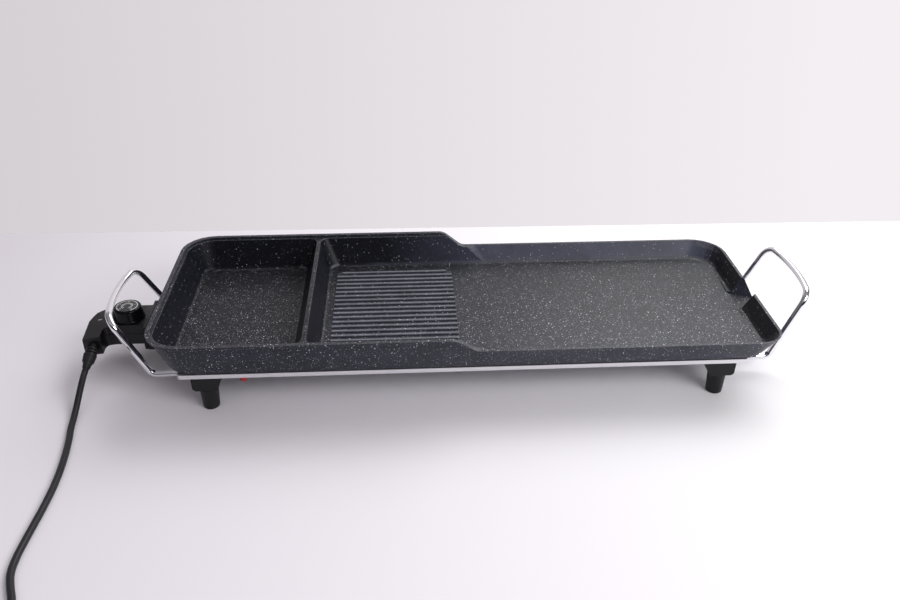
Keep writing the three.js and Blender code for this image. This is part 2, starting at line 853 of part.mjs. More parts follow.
function footGeometry() {
  const leg = turned([
    [0, 0], [foot.bottomRadius - foot.bottomRound, 0], [foot.bottomRadius, foot.bottomRound],
    [foot.topRadius, foot.height], [foot.topRadius, foot.height + overrun], [0, foot.height + overrun]]);
  const shelfX = foot.outerTaper - foot.outerReach;
  const shape = new THREE.Shape();
  shape.moveTo(-foot.outerReach, footTop);
  shape.lineTo(shelfX, foot.height + foot.shelfRound);
  shape.quadraticCurveTo(shelfX, foot.height, shelfX + foot.shelfRound, foot.height);
  shape.lineTo(-foot.bottomRadius, foot.height);
  shape.lineTo(-foot.bottomRadius, foot.slantEnd);
  shape.lineTo(foot.bottomRadius, foot.slantEnd);
  shape.lineTo(foot.innerReach, foot.slantStart);
  shape.lineTo(foot.innerReach, footTop);
  const depth = 2 * foot.topRadius;
  const options = { depth, bevelEnabled: false, curveSegments: bendSteps };
  const block = barAlongY(new THREE.ExtrudeGeometry(shape, options), depth);
  const bore = post(foot.bore, -overrun, foot.boreDepth);
  const hole = post(screw.shank + clearance, foot.boreDepth - overrun, footTop + overrun);
  return geometryOf(cutFrom(joined(leg, block), bore, hole));
}

function feet() {
  const group = new THREE.Group();
  const geometry = footGeometry();
  const head = foot.boreDepth - screw.headHeight - clearance;
  const screwShape = screwGeometry(screwTop - head);
  for (const [x, y, sideX, sideY] of footPlaces) {
    const name = `${sideY < 0 ? "front" : "rear"}_${sideX < 0 ? "left" : "right"}`;
    const turn = sideX < 0 ? 0 : Math.PI;
    group.add(place(piece(`foot_${name}`, geometry, finishes.footPlastic), x, y, 0, turn));
    group.add(place(piece(`foot_screw_${name}`, screwShape, finishes.zinc), x, y, head, turn));
  }
  return group;
}

function guardScrews() {
  const group = new THREE.Group();
  const head = pan.undersideHeight - 2 * clearance - guard.earThickness - screw.headHeight;
  const shape = screwGeometry(screwTop - head);
  for (const [name, side] of [["guard_screw_front", -1], ["guard_screw_rear", 1]]) {
    group.add(place(piece(name, shape, finishes.zinc), guardScrewX, side * guardEarY, head));
  }
  return group;
}

// Handles: bent wire whose ends lie under the tray, held there by a pressed strap with two screws.

const wireHeight = tray.bottom - clearance - handle.wire;

function handleRoute(top) {
  const corner = (x, y, z) => new THREE.Vector3(x, y, z);
  const bowSteps = [-1, 0, 1];
  const half = [
    corner(handleBase - handle.tail, -handle.baseHalf, wireHeight),
    corner(handleBase, -handle.baseHalf, wireHeight),
    corner(handleTop, -handle.topHalf, top),
  ];
  const grip = bowSteps.map((share) => corner(
    handleTop + handle.bow * (1 - share * share / 2), share * handle.topHalf / 2, top));
  const mirrored = half.map((point) => corner(point.x, -point.y, point.z)).reverse();
  const bows = grip.map(() => handle.bowBend);
  const bends = [handle.footBend, handle.topBend, ...bows, handle.topBend, handle.footBend];
  return bentRoute([...half, ...grip, ...mirrored], bends);
}

function strapGeometry() {
  const inner = handle.wire + clearance;
  const outer = inner + clamp.sheet;
  const top = -clearance;
  const low = top - clamp.sheet;
  const end = handle.baseHalf + clamp.overhang;
  const shape = new THREE.Shape();
  shape.moveTo(-end, top);
  for (const y of [-handle.baseHalf, handle.baseHalf]) {
    shape.lineTo(y - inner, top);
    shape.lineTo(y - inner, -inner);
    shape.absarc(y, -inner, inner, Math.PI, 2 * Math.PI, false);
    shape.lineTo(y + inner, top);
  }
  shape.lineTo(end, top);
  shape.lineTo(end, low);
  for (const y of [handle.baseHalf, -handle.baseHalf]) {
    shape.lineTo(y + outer, low);
    shape.lineTo(y + outer, -inner);
    shape.absarc(y, -inner, outer, 0, -Math.PI, true);
    shape.lineTo(y - outer, low);
  }
  shape.lineTo(-end, low);
  const options = { depth: clamp.width, bevelEnabled: false, curveSegments: cornerSteps };
  const bar = barAlongX(new THREE.ExtrudeGeometry(shape, options), clamp.width);
  const holes = [-clampScrewY, clampScrewY].map((y) => post(
    screw.shank + clearance, low - overrun, overrun, 0, y));
  return geometryOf(cutFrom(solidOf(bar), ...holes));
}

function handles() {
  const group = new THREE.Group();
  const strap = strapGeometry();
  const head = -2 * clearance - clamp.sheet - screw.headHeight;
  const screwShape = screwGeometry(clamp.screwLength - head);
  for (const [side, top, turn] of [["right", handle.rightTop, 0], ["left", handle.leftTop, Math.PI]]) {
    const end = new THREE.Group();
    end.rotation.z = turn;
    end.position.x = trayMiddle;
    const wire = sweep(polygon(handle.wire, wireSides), handleRoute(top));
    end.add(piece(`handle_${side}`, wire, finishes.chrome));
    end.add(place(piece(`handle_clamp_${side}`, strap, finishes.zinc), clampX, 0, tray.bottom));
    for (const across of [-1, 1]) {
      const name = `clamp_screw_${across * Math.cos(turn) < 0 ? "front" : "rear"}_${side}`;
      const y = across * clampScrewY;
      end.add(place(piece(name, screwShape, finishes.zinc), clampX, y, tray.bottom + head));
    }
    group.add(end);
  }
  return group;
}

function pilotLamp() {
  const edge = tray.top - tray.skirt;
  const low = edge - lamp.drop;
  const profile = [
    [0, low], [lamp.bottomRadius - lamp.bottomRound, low], [lamp.bottomRadius, low + lamp.bottomRound],
    [lamp.topRadius, edge], [lamp.topRadius, footTop], [0, footTop]];
  const mesh = piece("pilot_lamp_lens", turned(profile), finishes.lens);
  return place(mesh, trayLeft + lamp.fromEnd, lamp.fromFront - trayHalfY, 0);
}

// Thermostat probe. Its own frame starts at the guard's face; it reaches back along -X.

const faceX = guardFaceX - clearance;

// Plan of the housing: a block behind the guard with an arm that turns to the front.
function housingPlan() {
  const half = probe.width / 2;
  const inner = probe.armOut - probe.armWidth;
  const [backShare, bulgeShare, sideShare] = armBackShares;
  const shape = new THREE.Shape();
  shape.moveTo(0, -half);
  shape.lineTo(0, half);
  shape.lineTo(-probe.armOut * backShare, half);
  shape.quadraticCurveTo(-probe.armOut * bulgeShare, half * sideShare, -probe.armOut, -probe.fillet);
  shape.lineTo(-probe.armOut, -probe.armEnd);
  shape.lineTo(-inner, -probe.armEnd);
  shape.lineTo(-inner, -half - probe.fillet);
  shape.quadraticCurveTo(-inner, -half, -inner + probe.fillet, -half);
  return shape;
}

// A slab that lies on the side of a plane given by three points, for slanted cuts.
function slabOn(a, b, c, up) {
  const across = b.clone().sub(a).normalize();
  const normal = across.clone().cross(c.clone().sub(a)).normalize();
  if (normal.z * up < 0) {
    normal.negate();
  }
  const along = normal.clone().cross(across);
  const thickness = probe.top;
  const basis = new THREE.Matrix4().makeBasis(across, along, normal).setPosition(
    a.clone().addScaledVector(normal, thickness / 2));
  return new THREE.BoxGeometry(cutReach, cutReach, thickness).applyMatrix4(basis);
}

function foldPlane(mainHeight, endHeight, up) {
  const shares = armFoldShares;
  const half = probe.width / 2;
  return slabOn(
    new THREE.Vector3(-probe.armOut * shares.nearX, half * shares.nearY, mainHeight),
    new THREE.Vector3(-probe.armOut * shares.farX, half * shares.farY, mainHeight),
    new THREE.Vector3(-probe.armOut * shares.endX, -probe.armEnd, endHeight), up);
}

function housingSolid() {
  const depth = probe.top - probe.armBottom;
  const options = { depth, bevelEnabled: false, curveSegments: cornerSteps };
  const plan = new THREE.ExtrudeGeometry(housingPlan(), options).translate(0, 0, probe.armBottom);
  const below = solidOf(box(-cutReach, cutReach, -cutReach, cutReach, 0, probe.bottom))
    .intersect(solidOf(foldPlane(probe.bottom, probe.armBottom, -1)));
  const half = probe.noseWidth / 2;
  const rise = probe.noseHeight / 2;
  const reach = (probe.noseLength + overrun) / 2;
  const nose = loft([-reach, reach].map((along) => evenOutline(
    -half, half, -rise, rise, probe.wall, along)));
  const seated = barAlongX(nose, 0).translate(reach - overrun, 0, element.height);
  return cutFrom(solidOf(plan), foldPlane(probe.top, probe.armTop, 1)).subtract(below).add(solidOf(seated));
}

function reliefFrame() {
  const start = new THREE.Vector3(probe.armWidth / 2 - probe.armOut + relief.side, -probe.armEnd, relief.height);
  const end = start.clone().add(new THREE.Vector3(...relief.run));
  const direction = end.clone().sub(start).normalize();
  const turn = new THREE.Quaternion().setFromUnitVectors(new THREE.Vector3(0, 0, 1), direction);
  return { start, end, direction, turn, length: start.distanceTo(end) };
}

function housingHollows() {
  const half = probe.width / 2 - probe.wall;
  const main = box(2 * probe.wall - probe.length, -probe.wall, -half, half,
    probe.bottom + probe.wall, probe.top - probe.wall);
  const through = (radius, y) => rodAlongX(
    radius + clearance, -probe.wall - overrun, probe.noseLength + overrun, y, element.height);
  const bores = [-terminalHalf, terminalHalf].map((y) => through(probe.contactRadius, y));
  const shaft = post(
    knob.shaftRadius + 2 * clearance, probe.top - probe.wall - overrun, probe.top + overrun,
    -knob.back, knob.side);
  const { start, turn } = reliefFrame();
  const neck = post(relief.neck + clearance, -probe.pocket, probe.pocket)
    .applyQuaternion(turn).translate(start.x, start.y, start.z);
  const armMiddle = probe.armWidth / 2 - probe.armOut;
  const pocketHalf = probe.pocket - probe.wall / 2;
  const pocketFront = 2 * probe.wall - probe.armEnd;
  const pocket = box(armMiddle - pocketHalf, armMiddle + pocketHalf, pocketFront,
    pocketFront + 2 * probe.pocket, probe.bottom + probe.wall / 2, probe.armTop - probe.wall / 2);
  return [main, ...bores, through(probe.rodRadius, 0), shaft, neck, pocket];
}

function probeScrewPlaces() {
  const y = probe.width / 2 - 2 * probe.wall - probe.screwHead / 2;
  return [[-probe.length / 2, y], [-probe.length / 2, -y]];
}

function housings() {
  const whole = cutFrom(housingSolid(), ...housingHollows());
  const skin = probe.wall / 2;
  const posts = probeScrewPlaces().map(([x, y]) => post(
    probe.screwHead + skin, probe.bottom + skin, probe.top - skin, x, y));
  const holes = probeScrewPlaces().flatMap(([x, y]) => [
    post(probe.screwHead + clearance, probe.bottom - overrun, probe.bottom + probe.wall, x, y),
    post(probe.screwShank + clearance, probe.bottom, probe.top - 2 * probe.wall, x, y),
  ]);
  const full = cutFrom(posts.reduce((sum, boss) => sum.add(solidOf(boss)), whole), ...holes);
  const layer = (low, high) => box(-cutReach, cutReach, -cutReach, cutReach, low, high);
  const above = layer(element.height + clearance / 2, probe.top + overrun);
  const below = layer(0, element.height - clearance / 2);
  return [full.intersect(solidOf(above)), full.intersect(solidOf(below))].map(geometryOf);
}

function thermostatParts() {
  const parts = [];
  const level = element.height;
  const half = thermostat.width / 2;
  const rise = thermostat.height / 2;
  const socket = -thermostat.back - thermostat.rodSocket;
  const block = box(
    -thermostat.back - thermostat.length, -thermostat.back, -half, half, level - rise, level + rise);
  const socketBore = rodAlongX(probe.rodRadius + clearance, socket, overrun - thermostat.back, 0, level);
  parts.push(piece("thermostat_switch", geometryOf(cutFrom(solidOf(block), socketBore)), finishes.zinc));
  const rod = rodAlongX(probe.rodRadius, socket + clearance, probe.rodReach, 0, level);
  parts.push(piece("sensing_rod", rod, finishes.steel));
  for (const side of [-1, 1]) {
    const name = `contact_sleeve_${side < 0 ? "front" : "rear"}`;
    const y = side * terminalHalf;
    const end = probe.noseLength - clearance;
    const start = end - probe.contactLength;
    const tube = cutFrom(
      solidOf(rodAlongX(probe.contactRadius, start, end, y, level)),
      rodAlongX(element.pinRadius + clearance, start - overrun, end + overrun, y, level));
    parts.push(piece(name, geometryOf(tube), finishes.brass));
  }
  const head = probe.bottom + probe.wall - clearance - screw.headHeight;
  const length = probe.top - 2 * probe.wall - clearance - head;
  for (const [i, [x, y]] of probeScrewPlaces().entries()) {
    const name = `probe_screw_${i === 0 ? "rear" : "front"}`;
    const shape = screwGeometry(length, probe.screwShank, probe.screwHead);
    parts.push(place(piece(name, shape, finishes.zinc), x, y, head));
  }
  return parts;
}

// Knob, its printed dial and the shaft that turns with them.
function knobGroup() {
  const group = new THREE.Group();
  group.position.set(-knob.back, knob.side, probe.top + clearance);
  const bore = knob.shaftRadius + clearance;
  const rim = knob.topRadius - knob.edgeRound;
  const floor = knob.height - knob.dialDepth;
  const recess = knob.dialRadius + clearance;
  const profile = [
    [0, knob.boreDepth], [bore, knob.boreDepth], [bore, 0], [knob.bottomRadius, 0],
    [knob.bottomRadius, knob.height * knobSkirtShare], [knob.topRadius, knob.height - knob.edgeRound],
    [rim, knob.height], [recess, knob.height], [recess, floor], [0, floor]];
  group.add(piece("thermostat_knob", turned(profile, knobSides), finishes.knobPlastic));
  const dialLow = floor + clearance;
  const dial = post(knob.dialRadius, dialLow, dialLow + knob.dialThickness);
  group.add(piece("knob_dial", dial, finishes.dial));
  const shaftLow = element.height + thermostat.height / 2 + clearance - group.position.z;
  const shaft = post(knob.shaftRadius, shaftLow, knob.boreDepth - clearance);
  group.add(piece("knob_shaft", shaft, finishes.steel));
  return group;
}

function probeGroup() {
  const group = new THREE.Group();
  group.position.x = faceX;
  const [upper, lower] = housings();
  group.add(piece("probe_housing_top", upper, finishes.probePlastic));
  group.add(piece("probe_housing_bottom", lower, finishes.probePlastic));
  group.add(...thermostatParts(), knobGroup(), strainRelief());
  return group;
}

// Strain relief: a collar inside the arm, a neck through its wall and a ribbed taper outside.
function strainRelief() {
  const { start, direction, turn, length } = reliefFrame();
  const inside = -relief.collarDepth;
  const slope = -direction.z / Math.hypot(direction.x, direction.y);
  const bell = relief.bellRadius * slope + clearance;
  const ribStart = bell + relief.bellLength;
  const profile = [
    [0, inside - relief.collarLength], [relief.collar, inside - relief.collarLength],
    [relief.collar, inside], [relief.neck, inside], [relief.neck, bell],
    [relief.bellRadius, bell], [relief.bellRadius, ribStart]];
  const ribPitch = (length - ribStart) / relief.ribs;
  for (let i = 0; i < relief.ribs; i += 1) {
    const taper = 1 - i / relief.ribs;
    const radius = relief.tipRadius + (relief.bellRadius - relief.tipRadius) * taper * reliefTaperShare;
    const low = ribStart + i * ribPitch;
    const middle = low + ribPitch / 2;
    const groove = radius - relief.ribDepth;
    profile.push([groove, low], [groove, middle], [radius, middle], [radius, low + ribPitch]);
  }
  profile.push([0, length]);
  const mesh = piece("strain_relief", turned(profile, screwSides), finishes.rubber);
  mesh.quaternion.copy(turn);
  mesh.position.copy(start);
  return mesh;
}

// The lead: straight out of the relief, then along the hand-chosen route, and square to the coil's start.
function powerCord() {
  const { end, direction } = reliefFrame();
  const first = end.clone().addScaledVector(direction, clearance);
  const square = first.clone().addScaledVector(direction, 2 * cord.radius);
  const last = new THREE.Vector3(...coilStart).add(new THREE.Vector3(0, clearance, 0));
  const before = last.clone().add(new THREE.Vector3(0, cord.radius, 0));
  const route = cordRoute.map((point) => new THREE.Vector3(...point));
  const curve = new THREE.CatmullRomCurve3([square, ...route, before], false, "centripetal");
  const points = [first, ...curve.getSpacedPoints(cord.steps), last];
  return piece("power_cord", sweep(polygon(cord.radius, cord.sides), points), finishes.rubber);
}

// The coil: one tube that spirals in on the table, climbs a layer and spirals out again on top.

const coilPitch = 2 * cord.radius + coil.gap;
const coilRise = 2 * cord.radius + coil.layerGap;

function coilPoint(turn) {
  const [startX, startY, startZ] = coilStart;
  const radius = coil.radius - coilPitch * Math.min(turn, coil.loops - turn);
  const halfClimb = coil.climbTurns / 2;
  const climb = THREE.MathUtils.smoothstep(turn, coil.loops / 2 - halfClimb, coil.loops / 2 + halfClimb);
  const angle = Math.PI * (1 + 2 * turn);
  return new THREE.Vector3(
    startX + coil.radius + radius * Math.cos(angle),
    startY - 2 * cord.radius + radius * Math.sin(angle),
    startZ + coilRise * climb);
}

function coilRoute(steps) {
  const count = coil.loops * steps;
  const turns = Array.from({ length: count + 1 }, (_, i) => coilPoint((i / count) * coil.loops));
  const start = new THREE.Vector3(...coilStart);
  const end = turns.at(-1).clone().add(new THREE.Vector3(0, -coil.tail, 0));
  return [start, ...turns, end];
}

// Smallest space between the tube's own stretches, measured between points half a turn or more apart.
function coilGap() {
  const steps = coil.loopSteps * coil.pathSamples;
  const points = coilRoute(steps).slice(1, -1);
  let least = Infinity;
  for (let i = 0; i < points.length; i += 1) {
    for (let j = i + steps / 2; j < points.length; j += 1) {
      least = Math.min(least, points[i].distanceTo(points[j]));
    }
  }
  return least - 2 * cord.radius;
}

function cordCoil() {
  console.log(`coil: ${coil.loops} loops, least gap to itself ${coilGap().toFixed(2)} mm`);
  const winding = sweep(polygon(cord.radius, coil.sides), coilRoute(coil.loopSteps));
  return piece("cord_coil", winding, finishes.rubber);
}

// Mains plug lying flat beyond the coil, on the axis of the coil's loose end.
function plugGroup() {
  const group = new THREE.Group();
  const end = coilRoute(coil.loopSteps).at(-1);
  group.position.set(end.x, end.y - clearance, end.z);
  const section = (across, thick, corner, along) => evenOutline(
    -across / 2, across / 2, -thick / 2, thick / 2, corner, along);
  const body = loft([
    section(plug.neck, plug.neck, plug.neckCorner, 0),
    section(plug.neck, plug.neck, plug.neckCorner, plug.neckLength),
    section(plug.width, plug.thickness, plug.corner, plug.shoulder),
    section(plug.width, plug.thickness, plug.corner, plug.length),
  ]).rotateX(Math.PI / 2);
  group.add(piece("plug_body", body, finishes.rubber));
  for (const [name, side] of [["plug_pin_left", -1], ["plug_pin_right", 1]]) {
    const low = plug.length + clearance;
    const pin = post(plug.pinRadius, low, low + plug.pinLength, side * plug.pinSpacing / 2);
    group.add(piece(name, pin.rotateX(Math.PI / 2), finishes.steel));
  }
  return group;
}

const grill = new THREE.Group();
grill.add(
  panBody(), heatingParts(), socketGuard(), guardScrews(), baseTray(), feet(), handles(), pilotLamp(),
  probeGroup());

// The origin is under the middle of the grill, measured without the lead and what hangs on it.
grill.updateMatrixWorld(true);
const bounds = new THREE.Box3().setFromObject(grill, true);
const middle = bounds.getCenter(new THREE.Vector3());
const lead = new THREE.Group();
lead.position.x = faceX;
lead.add(powerCord(), cordCoil(), plugGroup());
grill.add(lead);
grill.position.set(-middle.x, -middle.y, -bounds.min.z);

export default grill;
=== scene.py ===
import math

import bmesh
import bpy
from mathutils import Matrix, Vector
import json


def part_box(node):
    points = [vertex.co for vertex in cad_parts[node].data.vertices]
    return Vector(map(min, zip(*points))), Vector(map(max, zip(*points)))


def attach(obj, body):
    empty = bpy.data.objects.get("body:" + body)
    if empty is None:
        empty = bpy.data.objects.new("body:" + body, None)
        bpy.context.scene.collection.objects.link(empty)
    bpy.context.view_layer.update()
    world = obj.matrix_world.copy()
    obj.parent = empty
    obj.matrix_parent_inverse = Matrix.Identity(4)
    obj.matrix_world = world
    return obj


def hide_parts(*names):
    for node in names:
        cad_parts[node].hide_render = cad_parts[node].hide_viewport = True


# Electric grill: speckled cast pan on a steel tray, wire handles and a plug-in probe with its lead.
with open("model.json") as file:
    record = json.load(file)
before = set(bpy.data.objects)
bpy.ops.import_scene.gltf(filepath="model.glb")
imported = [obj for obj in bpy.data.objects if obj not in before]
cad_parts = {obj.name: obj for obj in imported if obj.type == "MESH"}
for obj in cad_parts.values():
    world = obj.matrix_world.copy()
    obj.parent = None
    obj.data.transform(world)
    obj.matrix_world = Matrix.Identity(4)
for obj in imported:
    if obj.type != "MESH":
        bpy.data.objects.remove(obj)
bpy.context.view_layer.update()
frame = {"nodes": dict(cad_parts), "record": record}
scene = bpy.context.scene
# The pieces' own values are in millimetres and degrees. Camera, finishes and studio have theirs in metres.
mm = 0.001
print("frame loaded,", len(frame["nodes"]), "solids")


def clearSelection():
    if bpy.context.mode != "OBJECT":
        bpy.ops.object.mode_set(mode="OBJECT")
    bpy.ops.object.select_all(action="DESELECT")


def pick(piece):
    clearSelection()
    piece.select_set(True)
    bpy.context.view_layer.objects.active = piece


def nameNew(name):
    piece = bpy.context.object
    piece.name = piece.data.name = name
    return piece


def inMetres(points):
    return [Vector(point) * mm for point in points]


def boxOf(node):
    low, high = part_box(node)
    return low / mm, high / mm


def centreOf(node):
    low, high = boxOf(node)
    return (low + high) / 2


# Camera, solved from the straight edges of the pan and the tray
camera = {"place": (-0.0490, -0.8664, 0.5807), "yaw": 3.45, "pitch": 30.65, "roll": 0.30, "lens": 34.76,
          "sensor": 36, "near": 0.05}

cameraData = bpy.data.cameras.new("photoCamera")
cameraData.lens = camera["lens"]
cameraData.sensor_width = camera["sensor"]
cameraData.clip_start = camera["near"]
photoCamera = bpy.data.objects.new("photoCamera", cameraData)
scene.collection.objects.link(photoCamera)
turn = (Matrix.Rotation(math.radians(-camera["yaw"]), 4, "Z")
        @ Matrix.Rotation(math.radians(90 - camera["pitch"]), 4, "X")
        @ Matrix.Rotation(math.radians(camera["roll"]), 4, "Z"))
photoCamera.matrix_world = Matrix.Translation(camera["place"]) @ turn
scene.camera = photoCamera
scene.view_settings.view_transform = "Standard"
print("camera set")


# Finishes
def newFinish(name, color, roughness, metallic=0.0):
    material = bpy.data.materials.new(name)
    material.use_nodes = True
    shader = material.node_tree.nodes["Principled BSDF"]
    shader.inputs["Base Color"].default_value = (*color, 1)
    shader.inputs["Roughness"].default_value = roughness
    shader.inputs["Metallic"].default_value = metallic
    return material, material.node_tree, shader


def addNode(tree, kind, inputs=None, **settings):
    node = tree.nodes.new(kind)
    for key, value in settings.items():
        setattr(node, key, value)
    for key, value in (inputs or {}).items():
        if isinstance(value, bpy.types.NodeSocket):
            tree.links.new(value, node.inputs[key])
        else:
            node.inputs[key].default_value = value
    return node


def objectPlace(tree):
    return addNode(tree, "ShaderNodeTexCoord").outputs["Object"]


def splitVector(tree, vector):
    return addNode(tree, "ShaderNodeSeparateXYZ", {"Vector": vector}).outputs


def math2(tree, operation, first, second=0.0):
    return addNode(tree, "ShaderNodeMath", {0: first, 1: second}, operation=operation).outputs[0]


def times(tree, first, *others):
    for other in others:
        first = math2(tree, "MULTIPLY", first, other)
    return first


def remap(tree, value, low, high, start=0.0, end=1.0):
    node = addNode(tree, "ShaderNodeMapRange", {
        "Value": value, "From Min": low, "From Max": high, "To Min": start, "To Max": end})
    return node.outputs["Result"]


# Share of a value that lies between two others, with soft ends
def within(tree, value, low, high, soft):
    return times(tree, remap(tree, value, low - soft, low), remap(tree, value, high, high + soft, 1, 0))


def blendColor(tree, share, first, second):
    node = addNode(tree, "ShaderNodeMix", data_type="RGBA", blend_type="MIX")
    for index, value in ((0, share), (6, first), (7, second)):
        if isinstance(value, bpy.types.NodeSocket):
            tree.links.new(value, node.inputs[index])
        else:
            node.inputs[index].default_value = value if index == 0 else (*value, 1)
    return node.outputs[2]


def scaleColor(tree, color, factor):
    return addNode(tree, "ShaderNodeVectorMath", {0: color, 3: factor}, operation="SCALE").outputs[0]


def grain(tree, size, detail=2.0, stretch=None):
    place = objectPlace(tree)
    if stretch:
        place = addNode(tree, "ShaderNodeMapping", {"Vector": place, "Scale": stretch}).outputs["Vector"]
    noise = addNode(tree, "ShaderNodeTexNoise", {"Vector": place, "Scale": 1 / size, "Detail": detail})
    return noise.outputs["Fac"]


grainSpan = (0.3, 0.7)


def roughen(tree, shader, value, low, high):
    tree.links.new(remap(tree, value, *grainSpan, low, high), shader.inputs["Roughness"])


def emboss(tree, shader, height, distance, strength):
    bump = addNode(tree, "ShaderNodeBump", {"Height": height, "Distance": distance, "Strength": strength})
    tree.links.new(bump.outputs["Normal"], shader.inputs["Normal"])


# Round specks: each cell of the pattern holds one, of its own size, and some cells hold none.
speckSoftness = 0.10


def specks(tree, cell, reach, share):
    cells = addNode(tree, "ShaderNodeTexVoronoi", {"Vector": objectPlace(tree), "Scale": 1 / cell})
    chance = addNode(tree, "ShaderNodeSeparateColor", {"Color": cells.outputs["Color"]}).outputs[0]
    radius = remap(tree, chance, 1 - share, 1, 0, reach)
    inside = math2(tree, "SUBTRACT", radius, cells.outputs["Distance"])
    return remap(tree, inside, 0, reach * speckSoftness)


# The sprayed coating. Its places are in metres, and "up" is how far a face looks upward.
# Pairs of colours: at the pot's end and at the plate's end, which is painted lighter as painted light from
# the right.
coating = {
    "floor": ((0.0080, 0.0080, 0.0125), (0.0168, 0.0178, 0.0250)),
    "outer": ((0.022, 0.024, 0.036), (0.046, 0.048, 0.064)),
    "lighterRight": (-0.16, 0.06),
    "upFloor": (0.72, 0.95), "upInside": (0.0, 0.06),
    "floorDepth": (-0.10, 0.10), "floorLight": (1.14, 0.66),
    "patches": {"size": 0.03, "grain": (0.35, 0.65), "light": (0.82, 1.12)},
    "grain": 0.0006, "grainDetail": 3.0, "rough": (0.34, 0.48),
    "sheen": (0.24, 0.31), "upSheen": (0.3, 0.9), "speckRise": 0.6, "rise": 0.00006, "riseStrength": 0.6,
}
# Inner walls are painted dark as painted shade, but the low one at the back is painted lit, and the tall
# one beside it has a little painted glow.
innerWall = {
    "dark": (0.0040, 0.0045, 0.0088), "lit": (0.056, 0.061, 0.094),
    "facesFront": (-0.65, -0.25), "upLeaning": (0.36, 0.48), "leaningFrom": (-0.03, 0.05),
    "leaningLeast": 0.35, "glowFrom": (-0.07, 0.03), "glow": 0.75, "litFrom": (-0.10, -0.08),
}
# Rims, the lid's ledge in painted shade, the rounded creases with a painted highlight and the edges that
# catch light, with a painted highlight
rimTone = {
    "rim": (0.031, 0.031, 0.040), "rimFrom": (0.0740, 0.0745),
    "ledge": (0.0085, 0.0085, 0.0115), "ledgeLevel": (0.0893, 0.0907, 0.0002),
    "crease": (0.066, 0.068, 0.082), "upCrease": (0.74, 0.90, 0.06),
    "creaseFacing": (-0.5, -0.1), "creaseShare": (1, 0.4),
    "edge": (0.115, 0.117, 0.135), "upEdge": (0.60, 0.95, 0.04), "edgeFrom": (0.0700, 0.0705),
    "edgeGrain": 0.0012, "edgeSpan": (0.42, 0.62),
}
# The ribs: the rib zone lighter than the dark inner walls, and the rib tops with a painted sheen
ribTone = {
    "low": (0.038, 0.039, 0.052), "top": (0.170, 0.175, 0.205), "topFrom": (0.0580, 0.0590),
    "x": (-0.1313, 0.0099, 0.0003), "y": (-0.0885, 0.0885, 0.0003), "z": (0.0562, 0.0593, 0.0002),
}
# The painted shade line where the plate's floor folds down to the drain
fold = {"x": (0.3135, 0.3141, 0.0005), "y": (-0.049, 0.075, 0.004), "inkAndShade": (0.008, 0.008, 0.010),
        "share": 0.85}
# Specks: cell, reach, share of cells, colour, then their strength outside, on inner walls and on floors
speckLayers = (
    (0.0010, 0.44, 0.90, (0.24, 0.25, 0.28), 0.30, 0.03, 0.65),
    (0.0017, 0.29, 0.65, (0.56, 0.575, 0.62), 0.85, 0.16, 0.95),
    (0.0029, 0.21, 0.60, (0.92, 0.93, 0.97), 1.0, 0.50, 1.0),
)


# painted light and shade on the inner walls, by the way they face and where they stand
def paintedInnerWallLight(tree, spot, tilt):
    leaning = times(tree, remap(tree, tilt["Z"], *innerWall["upLeaning"]),
                    remap(tree, spot["X"], *innerWall["leaningFrom"], innerWall["leaningLeast"], 1))
    glow = remap(tree, spot["X"], *innerWall["glowFrom"], 0, innerWall["glow"])
    lit = times(tree, math2(tree, "MAXIMUM", leaning, glow),
                remap(tree, tilt["Y"], *innerWall["facesFront"], 1, 0),
                remap(tree, spot["X"], *innerWall["litFrom"]))
    return blendColor(tree, lit, innerWall["dark"], innerWall["lit"])


def onRibs(tree, spot):
    return times(tree, *(within(tree, spot[axis.upper()], *ribTone[axis]) for axis in "xyz"))


# painted highlight on the rounded edges, broken up by a grain
def onRoundedEdges(tree, spot, tilt):
    brokenHighlight = remap(tree, grain(tree, rimTone["edgeGrain"]), *rimTone["edgeSpan"])
    return times(tree, within(tree, tilt["Z"], *rimTone["upEdge"]),
                 remap(tree, spot["Z"], *rimTone["edgeFrom"]), brokenHighlight)


